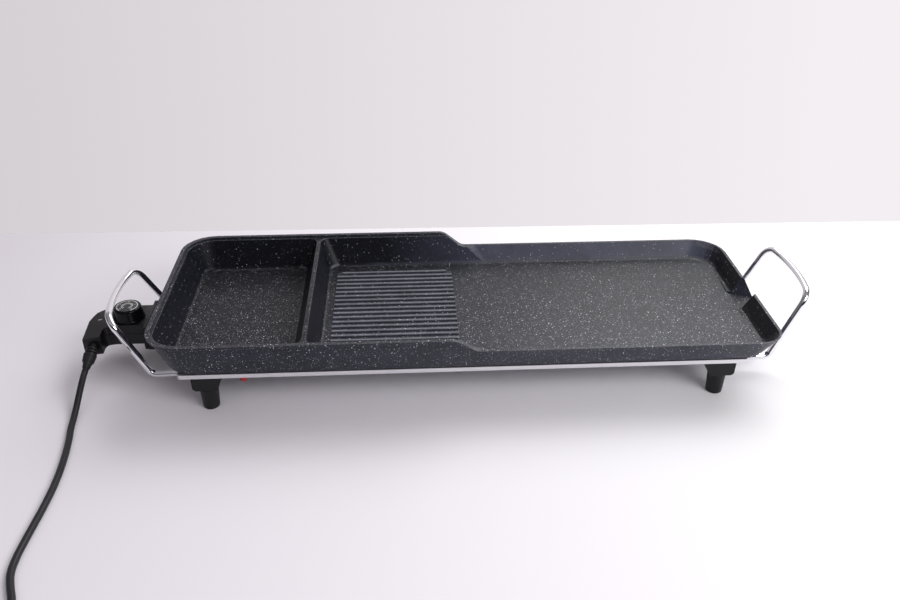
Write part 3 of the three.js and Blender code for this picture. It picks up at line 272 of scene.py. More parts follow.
def speckledCoating():
    material, tree, shader = newFinish("speckledCoating", coating["outer"][0], coating["rough"][0])
    tilt = splitVector(tree, addNode(tree, "ShaderNodeNewGeometry").outputs["True Normal"])
    spot = splitVector(tree, objectPlace(tree))
    # painted light: the coating grows lighter toward the plate's end on the right
    rightLight = remap(tree, spot["X"], *coating["lighterRight"])
    flat = remap(tree, tilt["Z"], *coating["upFloor"])
    inside = remap(tree, tilt["Z"], *coating["upInside"])
    # painted light and shade: floors lighter toward the front and darker toward the back, their specks too
    paintedFloorLight = remap(tree, spot["Y"], *coating["floorDepth"], *coating["floorLight"])
    rim = remap(tree, spot["Z"], *rimTone["rimFrom"])

    level = scaleColor(tree, blendColor(tree, rightLight, *coating["floor"]), paintedFloorLight)
    level = blendColor(tree, rim, level, rimTone["rim"])
    # painted shade: the lid's ledge below the rim is darker
    level = blendColor(tree, within(tree, spot["Z"], *rimTone["ledgeLevel"]), level, rimTone["ledge"])
    outer = blendColor(tree, rightLight, *coating["outer"])
    base = blendColor(tree, flat, blendColor(tree, inside, outer, paintedInnerWallLight(tree, spot, tilt)), level)
    # painted highlight along the rounded creases, strongest where they face the front
    crease = times(tree, within(tree, tilt["Z"], *rimTone["upCrease"]),
                   remap(tree, tilt["Y"], *rimTone["creaseFacing"], *rimTone["creaseShare"]))
    base = blendColor(tree, crease, base, rimTone["crease"])
    # painted sheen: rib tops lighter than their flanks
    ribSheen = blendColor(tree, remap(tree, spot["Z"], *ribTone["topFrom"]), ribTone["low"], ribTone["top"])
    base = blendColor(tree, onRibs(tree, spot), base, ribSheen)
    base = blendColor(tree, onRoundedEdges(tree, spot, tilt), base, rimTone["edge"])
    patches = coating["patches"]
    light = remap(tree, grain(tree, patches["size"]), *patches["grain"], *patches["light"])
    base = scaleColor(tree, base, light)
    # painted shade: a dark line along the plate floor's fold
    foldShade = times(tree, within(tree, spot["X"], *fold["x"]), within(tree, spot["Y"], *fold["y"]), flat,
                   math2(tree, "SUBTRACT", 1.0, rim), fold["share"])
    color = blendColor(tree, foldShade, base, fold["inkAndShade"])

    for cell, reach, share, inkAndShade, outside, onWalls, onFloors in speckLayers:
        dots = specks(tree, cell, reach, share)
        upright = remap(tree, inside, 0, 1, outside, onWalls)
        strength = remap(tree, flat, 0, 1, upright, times(tree, paintedFloorLight, onFloors))
        color = blendColor(tree, times(tree, dots, strength), color, inkAndShade)
    tree.links.new(color, shader.inputs["Base Color"])
    sheen = times(tree, rightLight, remap(tree, tilt["Z"], *coating["upSheen"]))
    tree.links.new(remap(tree, sheen, 0, 1, *coating["sheen"]), shader.inputs["Specular IOR Level"])
    texture = grain(tree, coating["grain"], coating["grainDetail"])
    roughen(tree, shader, texture, *coating["rough"])
    bumps = math2(tree, "ADD", texture, times(tree, dots, coating["speckRise"]))
    emboss(tree, shader, bumps, coating["rise"], coating["riseStrength"])
    return material


def twoTones(color, share):
    return [c * (1 - share) for c in color], [c * (1 + share) for c in color]


# The plain finishes: two tones blended by a grain that also varies the roughness.
# "dents" holds the size of a grain of its own (or None for the same one), its depth and its strength.
plainFinishes = {
    "traySteel": {"tones": ((0.72, 0.711, 0.738), (0.80, 0.79, 0.82)), "metal": 0.85, "rough": (0.28, 0.44),
                  "size": 0.004, "stretch": (0.12, 1, 1), "dents": (None, 0.00002, 0.5)},
    "chromePlate": {"tones": ((0.80, 0.80, 0.83), (0.88, 0.88, 0.90)), "metal": 1.0,
                    "rough": (0.02, 0.055), "size": 0.012, "detail": 4.0},
    "footPlastic": {"tones": twoTones((0.013, 0.013, 0.015), 0.2), "rough": (0.38, 0.56), "size": 0.018,
                    "dents": (0.0007, 0.00005, 0.6), "gloss": 0.25},
    "blackMoulding": {"tones": twoTones((0.0055, 0.0052, 0.0065), 0.2), "rough": (0.28, 0.42),
                      "size": 0.018, "dents": (0.0007, 0.00005, 0.6), "gloss": 0.34},
    "knobPlastic": {"tones": twoTones((0.004, 0.004, 0.005), 0.2), "rough": (0.10, 0.18), "size": 0.018,
                    "dents": (0.002, 0.00001, 0.6), "gloss": 0.16},
    "clearRed": {"tones": ((0.42, 0.006, 0.005), (0.66, 0.014, 0.010)), "rough": (0.12, 0.24),
                 "size": 0.002, "detail": 2.0, "clear": 0.25},
    "cordRubber": {"tones": ((0.010, 0.010, 0.012), (0.020, 0.020, 0.023)), "rough": (0.34, 0.52),
                   "size": 0.01, "dents": (0.0009, 0.00004, 0.5), "gloss": 0.3},
    "zincPlate": {"tones": ((0.44, 0.44, 0.43), (0.58, 0.58, 0.57)), "metal": 0.9, "rough": (0.28, 0.46),
                  "size": 0.0015, "dents": (None, 0.00002, 0.5)},
    "brightBrass": {"tones": ((0.54, 0.38, 0.13), (0.68, 0.51, 0.20)), "metal": 1.0, "rough": (0.2, 0.38),
                    "size": 0.002, "stretch": (1, 0.2, 1)},
    "elementSheath": {"tones": ((0.06, 0.052, 0.048), (0.15, 0.14, 0.13)), "metal": 0.6,
                      "rough": (0.5, 0.75), "size": 0.003, "detail": 5.0, "dents": (None, 0.0001, 0.5)},
    "inkWhite": {"tones": ((0.52, 0.52, 0.50), (0.68, 0.68, 0.66)), "rough": (0.45, 0.45),
                 "size": 0.0008, "detail": 2.0},
    "inkRed": {"tones": ((0.36, 0.015, 0.015), (0.50, 0.03, 0.03)), "rough": (0.45, 0.45),
               "size": 0.0008, "detail": 2.0},
}


def plainFinish(name):
    values = plainFinishes[name]
    metal = values.get("metal", 0.0)
    material, tree, shader = newFinish(name, values["tones"][0], values["rough"][0], metal)
    cloud = grain(tree, values["size"], values.get("detail", 3.0), values.get("stretch"))
    roughen(tree, shader, cloud, *values["rough"])
    tree.links.new(blendColor(tree, cloud, *values["tones"]), shader.inputs["Base Color"])
    if "dents" in values:
        size, depth, strength = values["dents"]
        emboss(tree, shader, grain(tree, size) if size else cloud, depth, strength)
    if "gloss" in values:
        shader.inputs["Specular IOR Level"].default_value = values["gloss"]
    if "clear" in values:
        shader.inputs["Transmission Weight"].default_value = values["clear"]
    return material


# The dial's print: rings, each with its radius and half its width, and tick marks with a gap at the front
dialPrint = {
    "rings": ((0.0116, 0.00035), (0.0062, 0.0003), (0.0047, 0.0003)),
    "ticks": 30, "tickShare": 0.25, "tickFrom": 0.0103, "tickTo": 0.0113, "gapHalf": 0.55,
    "ground": (0.018, 0.018, 0.020), "inkAndShade": (0.62, 0.62, 0.60), "rough": 0.3, "raised": (0.00003, 0.5),
}


def printedDial():
    material, tree, shader = newFinish("printedDial", dialPrint["ground"], dialPrint["rough"])
    centre = centreOf("knob_dial") * mm
    spot = objectPlace(tree)
    fromCentre = addNode(tree, "ShaderNodeVectorMath", {0: spot, 1: centre}, operation="SUBTRACT")
    place = splitVector(tree, fromCentre.outputs[0])
    flat = addNode(tree, "ShaderNodeCombineXYZ", {"X": place["X"], "Y": place["Y"]}).outputs[0]
    radius = addNode(tree, "ShaderNodeVectorMath", {0: flat}, operation="LENGTH").outputs["Value"]
    angle = math2(tree, "ARCTAN2", place["Y"], place["X"])
    wave = math2(tree, "FRACT", times(tree, angle, dialPrint["ticks"] / (2 * math.pi)))
    inkAndShade = times(tree, math2(tree, "LESS_THAN", wave, dialPrint["tickShare"]),
                math2(tree, "GREATER_THAN", radius, dialPrint["tickFrom"]),
                math2(tree, "LESS_THAN", radius, dialPrint["tickTo"]))
    for ring, half in dialPrint["rings"]:
        distance = math2(tree, "ABSOLUTE", math2(tree, "SUBTRACT", radius, ring))
        inkAndShade = math2(tree, "MAXIMUM", inkAndShade, math2(tree, "LESS_THAN", distance, half))
    fromFront = math2(tree, "ABSOLUTE", math2(tree, "ADD", angle, math.pi / 2))
    inkAndShade = times(tree, inkAndShade, math2(tree, "GREATER_THAN", fromFront, dialPrint["gapHalf"]))
    color = blendColor(tree, inkAndShade, dialPrint["ground"], dialPrint["inkAndShade"])
    tree.links.new(color, shader.inputs["Base Color"])
    emboss(tree, shader, inkAndShade, *dialPrint["raised"])
    return material


finishes = {
    "coated_casting": speckledCoating(), "element_sheath": plainFinish("elementSheath"),
    "plated_steel": plainFinish("zincPlate"), "tray_steel": plainFinish("traySteel"),
    "foot_plastic": plainFinish("footPlastic"), "chrome_wire": plainFinish("chromePlate"),
    "black_moulding": plainFinish("blackMoulding"), "knob_plastic": plainFinish("knobPlastic"),
    "dial_print": printedDial(), "red_lens": plainFinish("clearRed"),
    "contact_brass": plainFinish("brightBrass"), "black_rubber": plainFinish("cordRubber"),
}
slotOf = {part["node"]: part["material_slot"] for part in frame["record"]["subparts"]}
for node, solid in frame["nodes"].items():
    solid.data.materials.clear()
    solid.data.materials.append(finishes[slotOf[node]])
print("finishes made")


def fit(piece, slot, body, *nodes, finish=None):
    piece.data.materials.clear()
    piece.data.materials.append(finish or finishes[slot])
    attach(piece, body)
    if nodes:
        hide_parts(*nodes)
    return piece


# The lead: one curve from the strain relief to the plug
lead = {
    "exit": (-401.24, -60.0, 27.0),
    "aim": (-0.1111, -0.8889, -0.4444),
    "radius": 3.4,
    "route": [
        (-401.84, -72, 22.6), (-402.14, -88, 15.4), (-401.84, -104, 8.6), (-400.94, -120, 4.4),
        (-399.14, -135, 3.6), (-395.14, -155, 3.6), (-390.64, -185, 3.6), (-388.14, -216, 3.6),
        (-387.94, -245, 3.6), (-389.14, -273, 3.6), (-390.34, -298, 3.6), (-390.44, -316, 3.6),
        (-388.84, -330, 3.6), (-384.44, -343, 3.6), (-377.84, -358, 3.6), (-372.44, -374, 3.6),
        (-369.54, -392, 3.6), (-368.84, -410, 3.6)],
    "coilCentre": (-322.84, -424.8), "coilRadius": 46, "coilPitch": 7.4, "coilRise": 7.3, "climbTurns": 0.5,
    "turns": 5, "tail": 36, "stepsPerTurn": 24, "length": 1.58, "around": 5, "between": 3,
}


def leadPoints():
    start, aim = Vector(lead["exit"]), Vector(lead["aim"])
    points = [start, start + aim * 2 * lead["radius"]] + [Vector(point) for point in lead["route"]]
    centreX, centreY = lead["coilCentre"]
    turns, low = lead["turns"], lead["route"][-1][2]
    for step in range(turns * lead["stepsPerTurn"] + 1):
        turned = step / lead["stepsPerTurn"]
        radius = lead["coilRadius"] - lead["coilPitch"] * min(turned, turns - turned)
        climb = min(max((turned - turns / 2) / lead["climbTurns"] + 0.5, 0), 1)
        angle = math.pi * (1 + 2 * turned)
        points.append(Vector((centreX + radius * math.cos(angle), centreY + radius * math.sin(angle),
                              low + lead["coilRise"] * climb * climb * (3 - 2 * climb))))
    points.append(points[-1] + Vector((0, -lead["tail"] / 2, 0)))
    points.append(points[-1] + Vector((0, -lead["tail"] / 2, 0)))
    return points


def roundWire(name, points, radius, around, between):
    curve = bpy.data.curves.new(name, "CURVE")
    curve.dimensions = "3D"
    curve.bevel_depth = radius * mm
    curve.bevel_resolution = around
    curve.resolution_u = between
    curve.use_fill_caps = True
    line = curve.splines.new("BEZIER")
    line.bezier_points.add(len(points) - 1)
    for knot, point in zip(line.bezier_points, inMetres(points)):
        knot.co = point
        knot.handle_left_type = knot.handle_right_type = "AUTO"
    wire = bpy.data.objects.new(name, curve)
    scene.collection.objects.link(wire)
    return wire


powerLead = roundWire("powerLead", leadPoints(), lead["radius"], lead["around"], lead["between"])
fit(powerLead, "black_rubber", "probe", "power_cord", "cord_coil")
print("lead laid")


# Ways of working that several pieces share, with their tolerances in millimetres and degrees
merge = {"solid": 0.02, "flat": 0.6, "turned": 0.005}


def copyOfNode(node, name):
    piece = bpy.data.objects.new(name, frame["nodes"][node].data.copy())
    scene.collection.objects.link(piece)
    pick(piece)
    bpy.ops.object.mode_set(mode="EDIT")
    bpy.ops.mesh.select_all(action="SELECT")
    bpy.ops.mesh.remove_doubles(threshold=merge["solid"] * mm)
    bpy.ops.mesh.dissolve_limited(angle_limit=math.radians(merge["flat"]))
    bpy.ops.object.mode_set(mode="OBJECT")
    return piece


# The width is the most that edges get: where some are short, Blender rounds the whole piece less.
def roundEdges(piece, width, steps, angle):
    pick(piece)
    bpy.ops.object.modifier_add(type="BEVEL")
    bevel = piece.modifiers[-1]
    bevel.width = width * mm
    bevel.segments = steps
    bevel.limit_method = "ANGLE"
    bevel.angle_limit = math.radians(angle)
    bevel.use_clamp_overlap = True
    bpy.ops.object.modifier_apply(modifier=bevel.name)
    return piece


# Faces within the angle share a normal at their corners, and the larger face counts for more.
def smooth(piece, angle=40):
    pick(piece)
    bpy.ops.object.shade_smooth()
    mesh = piece.data
    around = [[] for vertex in mesh.vertices]
    for face in mesh.polygons:
        for corner in face.vertices:
            around[corner].append((face.normal.copy(), face.area))
    limit = math.cos(math.radians(angle))
    normals = []
    for face in mesh.polygons:
        for corner in face.vertices:
            near = [normal * area for normal, area in around[corner] if normal.dot(face.normal) > limit]
            normals.append(sum(near, Vector()).normalized())
    mesh.normals_split_custom_set(normals)
    return piece


def bevelWhere(piece, test, width, steps):
    pick(piece)
    bpy.ops.object.mode_set(mode="EDIT")
    bpy.ops.mesh.select_mode(type="EDGE")
    bpy.ops.mesh.select_all(action="DESELECT")
    mesh = bmesh.from_edit_mesh(piece.data)
    for edge in mesh.edges:
        if len(edge.link_faces) == 2 and test(edge):
            edge.select_set(True)
    bmesh.update_edit_mesh(piece.data)
    bpy.ops.mesh.bevel(offset=width * mm, offset_pct=0, segments=steps, affect="EDGES", clamp_overlap=False)
    bpy.ops.object.mode_set(mode="OBJECT")
    return piece


# A disc is raised and resized ring by ring, as on a lathe; heights and radii are in millimetres.
def turnedPiece(name, profile, sides, place, aim=(0, 0, 1)):
    clearSelection()
    radius, height = profile[0]
    bpy.ops.mesh.primitive_circle_add(vertices=sides, radius=radius * mm, fill_type="NGON",
                                      location=(0, 0, height * mm))
    piece = nameNew(name)
    bpy.ops.object.transform_apply(location=True, rotation=False, scale=False)
    bpy.ops.object.mode_set(mode="EDIT")
    bpy.ops.mesh.select_all(action="SELECT")
    for nextRadius, nextHeight in profile[1:]:
        rise = (nextHeight - height) * mm
        bpy.ops.mesh.extrude_region_move(TRANSFORM_OT_translate={"value": (0, 0, rise)})
        share = nextRadius / radius
        bpy.ops.transform.resize(value=(share, share, 1), center_override=(0, 0, nextHeight * mm))
        radius, height = nextRadius, nextHeight
    bpy.ops.mesh.select_all(action="SELECT")
    bpy.ops.mesh.remove_doubles(threshold=merge["turned"] * mm)
    bpy.ops.mesh.normals_make_consistent(inside=False)
    bpy.ops.object.mode_set(mode="OBJECT")
    piece.matrix_world = (Matrix.Translation(Vector(place) * mm)
                          @ Vector(aim).to_track_quat("Z", "Y").to_matrix().to_4x4())
    bpy.ops.object.transform_apply(location=True, rotation=True, scale=True)
    return piece


# Pan: the casting's copy, with a lip round the tall rim, rounded rims, ledge, divider and ribs.
# "lip" says how far the wall goes in at each height.
pan = {"corner": 38, "wall": 6, "stepStart": 1.8, "lipLow": 89.2, "lipFade": 18, "lipJoin": 1,
       "lip": {87.2: 3.7, 76.0: 2.6}, "ringReach": 0.05,
       "endBelow": 51, "endFrom": 305, "endTo": 342, "endShift": 5.5,
       "rimAbove": 70, "rimAngle": 28, "rim": 0.45, "ledge": (89.5, 90.5), "ledgeAngle": 50, "seat": 0.4,
       "steps": 2, "smooth": 24}


def castPan():
    piece = copyOfNode("pan_body", "castPan")
    low = boxOf("pan_body")[0]
    centreX, centreY = low.x + pan["corner"], low.y + pan["corner"]
    pick(piece)
    bpy.ops.object.mode_set(mode="EDIT")
    cuts = [((0, 0, pan["lipLow"]), (0, 0, 1)), ((0, 0, max(pan["lip"])), (0, 0, 1)),
            ((pan["stepStart"] - pan["lipFade"], 0, 0), (1, 0, 0))]
    for place, normal in cuts:
        bpy.ops.mesh.select_all(action="SELECT")
        bpy.ops.mesh.bisect(plane_co=Vector(place) * mm, plane_no=normal)
    mesh = bmesh.from_edit_mesh(piece.data)
    for vertex in mesh.verts:
        x, y, z = vertex.co / mm
        # the plate's end leans in more toward its foot
        if z < pan["endBelow"] and x > pan["endFrom"]:
            vertex.co.x -= pan["endShift"] * mm * (x - pan["endFrom"]) / (pan["endTo"] - pan["endFrom"])
            continue
        depth = sum(inset for height, inset in pan["lip"].items() if abs(z - height) < pan["ringReach"])
        if not depth or x > pan["stepStart"] - pan["lipFade"] + pan["lipJoin"]:
            continue
        # the way to the outline, straight along a side and round a corner
        outward = Vector((min(x - centreX, 0), math.copysign(max(abs(y) + centreY, 0), y)))
        if outward.length > pan["corner"] - pan["wall"]:
            shift = outward.normalized() * depth * mm
            vertex.co.x -= shift.x
            vertex.co.y -= shift.y
    bmesh.update_edit_mesh(piece.data)
    bpy.ops.object.mode_set(mode="OBJECT")

    def isRim(edge):
        high = min(end.co.z for end in edge.verts) > pan["rimAbove"] * mm
        return high and edge.is_convex and edge.calc_face_angle(0) > math.radians(pan["rimAngle"])

    def isLedge(edge):
        low, high = pan["ledge"]
        level = all(low < end.co.z / mm < high for end in edge.verts)
        return level and not edge.is_convex and edge.calc_face_angle(0) > math.radians(pan["ledgeAngle"])

    bevelWhere(piece, isRim, pan["rim"], pan["steps"])
    bevelWhere(piece, isLedge, pan["seat"], pan["steps"])
    return smooth(piece, pan["smooth"])


fit(castPan(), "coated_casting", "grill", "pan_body")
print("pan finished")

# Tray and straps: copies with the radii that pressing leaves
sheet = {"tray": 0.3, "strap": 0.25, "steps": 2, "sharp": 50}
tray = roundEdges(copyOfNode("base_tray", "pressedTray"), sheet["tray"], sheet["steps"], sheet["sharp"])
fit(smooth(tray), "tray_steel", "grill", "base_tray")
hook = {"fromEnd": 8, "half": 4.6, "grow": 4.3 / 3.3}


# The strap's two hooks are widened to the wire's own thickness.
def pressedStrap(side):
    piece = copyOfNode(f"handle_clamp_{side}", f"strap_{side}")
    end = boxOf(f"handle_clamp_{side}")[1]
    for way in (-1, 1):
        middle = way * (end.y - hook["fromEnd"])
        pick(piece)
        bpy.ops.object.mode_set(mode="EDIT")
        bpy.ops.mesh.select_mode(type="VERT")
        bpy.ops.mesh.select_all(action="DESELECT")
        mesh = bmesh.from_edit_mesh(piece.data)
        for vertex in mesh.verts:
            vertex.select_set(abs(vertex.co.y / mm - middle) < hook["half"])
        bmesh.update_edit_mesh(piece.data)
        bpy.ops.transform.resize(value=(1, hook["grow"], hook["grow"]),
                                 center_override=(0, middle * mm, end.z * mm))
        bpy.ops.object.mode_set(mode="OBJECT")
    return smooth(roundEdges(piece, sheet["strap"], sheet["steps"], sheet["sharp"]))


for side in ("left", "right"):
    fit(pressedStrap(side), "tray_steel", "grill", f"handle_clamp_{side}")

# Feet: a turned leg grown into a block that slants in on its inner side
feet = {
    "sidewise": {"left": -1.0, "right": 2.2}, "sides": 40,
    "leg": ((0.4, 19.0), (4.4, 19.0), (4.4, 0.0), (8.0, 0.0), (8.8, 0.8), (10.3, 27.5), (0.4, 27.5)),
    "block": ((-15.2, 26.0), (-15.9, 46.9), (17.3, 46.9), (17.3, 42.0), (10.9, 26.0)), "half": 10.3,
    "shelf": 26, "shelfFrom": 12, "shelfReach": 0.1, "shelfRound": 4.0, "shelfSteps": 5,
    "edge": 0.5, "steps": 2, "sharp": 40, "smooth": 35,
}


def moulded(name, profile, half, place, turnRound):
    mesh = bpy.data.meshes.new(name)
    mesh.from_pydata([(x * mm, -half * mm, z * mm) for x, z in profile], [], [tuple(range(len(profile)))])
    piece = bpy.data.objects.new(name, mesh)
    scene.collection.objects.link(piece)
    pick(piece)
    bpy.ops.object.mode_set(mode="EDIT")
    bpy.ops.mesh.select_all(action="SELECT")
    bpy.ops.mesh.extrude_region_move(TRANSFORM_OT_translate={"value": (0, 2 * half * mm, 0)})
    bpy.ops.mesh.select_all(action="SELECT")
    bpy.ops.mesh.normals_make_consistent(inside=False)
    bpy.ops.object.mode_set(mode="OBJECT")
    piece.matrix_world = Matrix.Translation(Vector(place) * mm) @ Matrix.Rotation(turnRound, 4, "Z")
    bpy.ops.object.transform_apply(location=True, rotation=True, scale=True)
    return piece


def mouldedFoot(row, side):
    corner, outward = f"{row}_{side}", 1 if side == "right" else -1
    screw = centreOf(f"foot_screw_{corner}")
    place = (screw.x + feet["sidewise"][side], screw.y, 0)
    foot = turnedPiece(f"leg_{corner}", feet["leg"], feet["sides"], place)
    block = moulded(f"block_{corner}", feet["block"], feet["half"], place, math.pi if outward > 0 else 0)

    def isShelf(edge):
        return all(abs(end.co.z / mm - feet["shelf"]) < feet["shelfReach"]
                   and (end.co.x / mm - place[0]) * outward > feet["shelfFrom"] for end in edge.verts)

    bevelWhere(block, isShelf, feet["shelfRound"], feet["shelfSteps"])
    pick(foot)
    bpy.ops.object.modifier_add(type="BOOLEAN")
    foot.modifiers[-1].operation = "UNION"
    foot.modifiers[-1].object = block
    bpy.ops.object.modifier_apply(modifier=foot.modifiers[-1].name)
    bpy.data.objects.remove(block)
    foot = smooth(roundEdges(foot, feet["edge"], feet["steps"], feet["sharp"]), feet["smooth"])
    return fit(foot, "foot_plastic", "grill", f"foot_{corner}")


for row in ("front", "rear"):
    for side in ("left", "right"):
        mouldedFoot(row, side)
print("tray, straps and feet finished")

# Handles: round wire with its ends under the tray
handle = {
    "inner": 214.5, "base": {"left": 344.5, "right": 348.5}, "top": 382.4,
    "baseHalf": 65, "topHalf": 59, "low": 19.9, "high": {"left": 87.0, "right": 96.6},
    "bow": 6.9, "gripShares": (-1, -0.5, 0, 0.5, 1), "bends": (9, 17, 150, 240, 240, 240, 150, 17, 9),
    "bendSteps": 12, "radius": 3.8, "around": 8, "smooth": 50,
}


def bentRoute(corners, bends, steps):
    points = [corners[0]]
    for before, corner, after, bend in zip(corners, corners[1:], corners[2:], bends):
        back, ahead = (before - corner).normalized(), (after - corner).normalized()
        half = back.angle(ahead) / 2
        centre = corner + (back + ahead).normalized() * bend / math.sin(half)
        first = corner + back * bend / math.tan(half) - centre
        last = corner + ahead * bend / math.tan(half) - centre
        sweep, axis = first.angle(last), first.cross(last).normalized()
        for step in range(steps + 1):
            points.append(Matrix.Rotation(sweep * step / steps, 3, axis) @ first + centre)
    points.append(corners[-1])
    return points


# The grip's corners lie on the middle half of a parabola that is as wide as the handle's top.
def wireHandle(side, turn):
    top, topHalf, baseHalf, low = handle["top"], handle["topHalf"], handle["baseHalf"], handle["low"]
    high = handle["high"][side]
    corners = [Vector((handle["inner"], -baseHalf, low)), Vector((handle["base"][side], -baseHalf, low)),
               Vector((top, -topHalf, high))]
    grip = [Vector((top + handle["bow"] * (1 - (share / 2) ** 2), share * topHalf / 2, high))
            for share in handle["gripShares"]]
    mirrored = [Vector((c.x, -c.y, c.z)) for c in reversed(corners)]
    route = bentRoute(corners + grip + mirrored, handle["bends"], handle["bendSteps"])
    middle = centreOf("base_tray").x
    placed = [Vector((middle + turn * p.x, turn * p.y, p.z)) for p in route]
    curve = bpy.data.curves.new(f"wire_{side}", "CURVE")
    curve.dimensions = "3D"
    curve.bevel_depth = handle["radius"] * mm
    curve.bevel_resolution = handle["around"]
    curve.use_fill_caps = True
    line = curve.splines.new("POLY")
    line.points.add(len(placed) - 1)
    for knot, point in zip(line.points, inMetres(placed)):
        knot.co = (*point, 1)
    wire = bpy.data.objects.new(f"wire_{side}", curve)
    scene.collection.objects.link(wire)
    pick(wire)
    bpy.ops.object.convert(target="MESH")
    wire = bpy.context.object
    return fit(smooth(wire, handle["smooth"]), "chrome_wire", "grill", f"handle_{side}")


wireHandle("right", 1)
wireHandle("left", -1)
print("handles bent")

# Pilot lamp: a small moulded lens with a rounded end, which hangs a little beside the plain solid's place
lamp = {
    "beside": (-5.7, -1.0), "sides": 32, "smooth": 50,
    "profile": ((3.6, 0), (4.0, -0.4), (4.0, -5.5), (3.9, -7.3), (3.5, -8.9), (2.9, -10.1), (2.1, -10.9),
                (1.0, -11.4), (0.2, -11.5)),
}
lampX, lampY = centreOf("pilot_lamp_lens").xy + Vector(lamp["beside"])
lampTop = boxOf("pilot_lamp_lens")[1].z
lens = turnedPiece("pilotLens", lamp["profile"], lamp["sides"], (lampX, lampY, lampTop))
fit(smooth(lens, lamp["smooth"]), "red_lens", "grill", "pilot_lamp_lens")

# Socket guard. The block behind its flange reaches out on both sides to the flange's own width.
guard = {"edge": 0.7, "steps": 3, "sharp": 40, "cheekSize": (12.0, 8.4, 27.2), "cheekBehind": 8.8,
         "cheekInside": 4.5, "cheekDown": 0.1, "cheekEdge": 2.2, "cheekSteps": 4}
guardFrame = copyOfNode("socket_guard", "socketGuard")
roundEdges(guardFrame, guard["edge"], guard["steps"], guard["sharp"])
fit(smooth(guardFrame), "black_moulding", "grill", "socket_guard")


def guardCheek(name, side):
    clearSelection()
    low, high = boxOf("socket_guard")
    place = Vector((low.x + guard["cheekBehind"], side * (high.y - guard["cheekInside"]),
                    (low.z + high.z) / 2 - guard["cheekDown"]))
    bpy.ops.mesh.primitive_cube_add(size=1, location=place * mm)
    piece = nameNew(name)
    piece.scale = Vector(guard["cheekSize"]) * mm
    bpy.ops.object.transform_apply(location=True, rotation=True, scale=True)
    rounded = roundEdges(piece, guard["cheekEdge"], guard["cheekSteps"], guard["sharp"])
    return fit(smooth(rounded), "black_moulding", "grill")


guardCheek("guardCheek_front", -1)
guardCheek("guardCheek_rear", 1)

# Probe housing: both shells with moulded edges
housing = {"edge": 0.55, "steps": 2, "sharp": 32, "smooth": 30}
shells = {}
for half in ("top", "bottom"):
    shell = roundEdges(copyOfNode(f"probe_housing_{half}", f"probeShell_{half}"),
                       housing["edge"], housing["steps"], housing["sharp"])
    shells[half] = fit(smooth(shell, housing["smooth"]), "black_moulding", "probe", f"probe_housing_{half}")
print("guard and housing finished")

# Knob: turned on one axis, with a printed dial sunk in its top
knob = {
    "profile": ((3.3, 9.5), (3.3, 0.0), (16.9, 0.0), (17.5, 0.5), (17.5, 1.5), (17.1, 2.0), (16.9, 2.5),
                (15.5, 11.4), (15.3, 12.6), (14.9, 13.6), (14.3, 14.3), (13.5, 14.75), (13.1, 14.8),
                (12.85, 14.6), (12.75, 14.2), (12.7, 13.8), (0.4, 13.8)),
    "dial": ((12.2, 0.0), (12.4, 0.1), (12.4, 0.38), (12.2, 0.5), (0.3, 0.5)),
    "sides": 64, "smooth": 38,
}
digits = {"text": "01234", "height": 3.0, "ring": 8.6, "first": 225, "step": -67.5,
          "rise": 0.52, "thick": 0.02, "bold": 0.03, "curve": 3}
knobX, knobY = centreOf("thermostat_knob").xy
knobZ, dialZ = boxOf("thermostat_knob")[0].z, boxOf("knob_dial")[0].z
gripKnob = turnedPiece("gripKnob", knob["profile"], knob["sides"], (knobX, knobY, knobZ))
fit(smooth(gripKnob, knob["smooth"]), "knob_plastic", "knob", "thermostat_knob")
dialFace = turnedPiece("dialFace", knob["dial"], knob["sides"], (knobX, knobY, dialZ))
fit(smooth(dialFace, knob["smooth"]), "dial_print", "knob", "knob_dial")
inkWhite, inkRed = plainFinish("inkWhite"), plainFinish("inkRed")


def dialDigit(digit, angle):
    clearSelection()
    spin = math.radians(angle)
    ring = digits["ring"]
    place = (knobX + ring * math.cos(spin), knobY + ring * math.sin(spin), dialZ + digits["rise"])
    bpy.ops.object.text_add(location=Vector(place) * mm, rotation=(0, 0, spin - math.pi / 2))
    text = bpy.context.object
    text.data.body = digit
    text.data.size = digits["height"] * mm
    text.data.align_x = text.data.align_y = "CENTER"
    text.data.extrude = digits["thick"] * mm
    text.data.offset = digits["bold"] * mm
    text.data.resolution_u = digits["curve"]
    bpy.ops.object.convert(target="MESH")
    bpy.ops.object.transform_apply(location=True, rotation=True, scale=True)
    piece = nameNew(f"dialDigit_{digit}")
    return fit(piece, "dial_print", "knob", finish=inkWhite)


for index, digit in enumerate(digits["text"]):
    dialDigit(digit, digits["first"] + index * digits["step"])


# A painted bar with soft ends that lies on whatever surface is below its place
paint = {"above": 200, "softness": 0.45, "steps": 3, "thick": 0.06}
indexBar = {"fromKnob": (-32.4, -2.4), "size": (4.6, 1.0), "heading": 0}
redBar = {"fromKnob": (-11.0, -3.0), "size": (1.6, 0.8), "heading": 100}


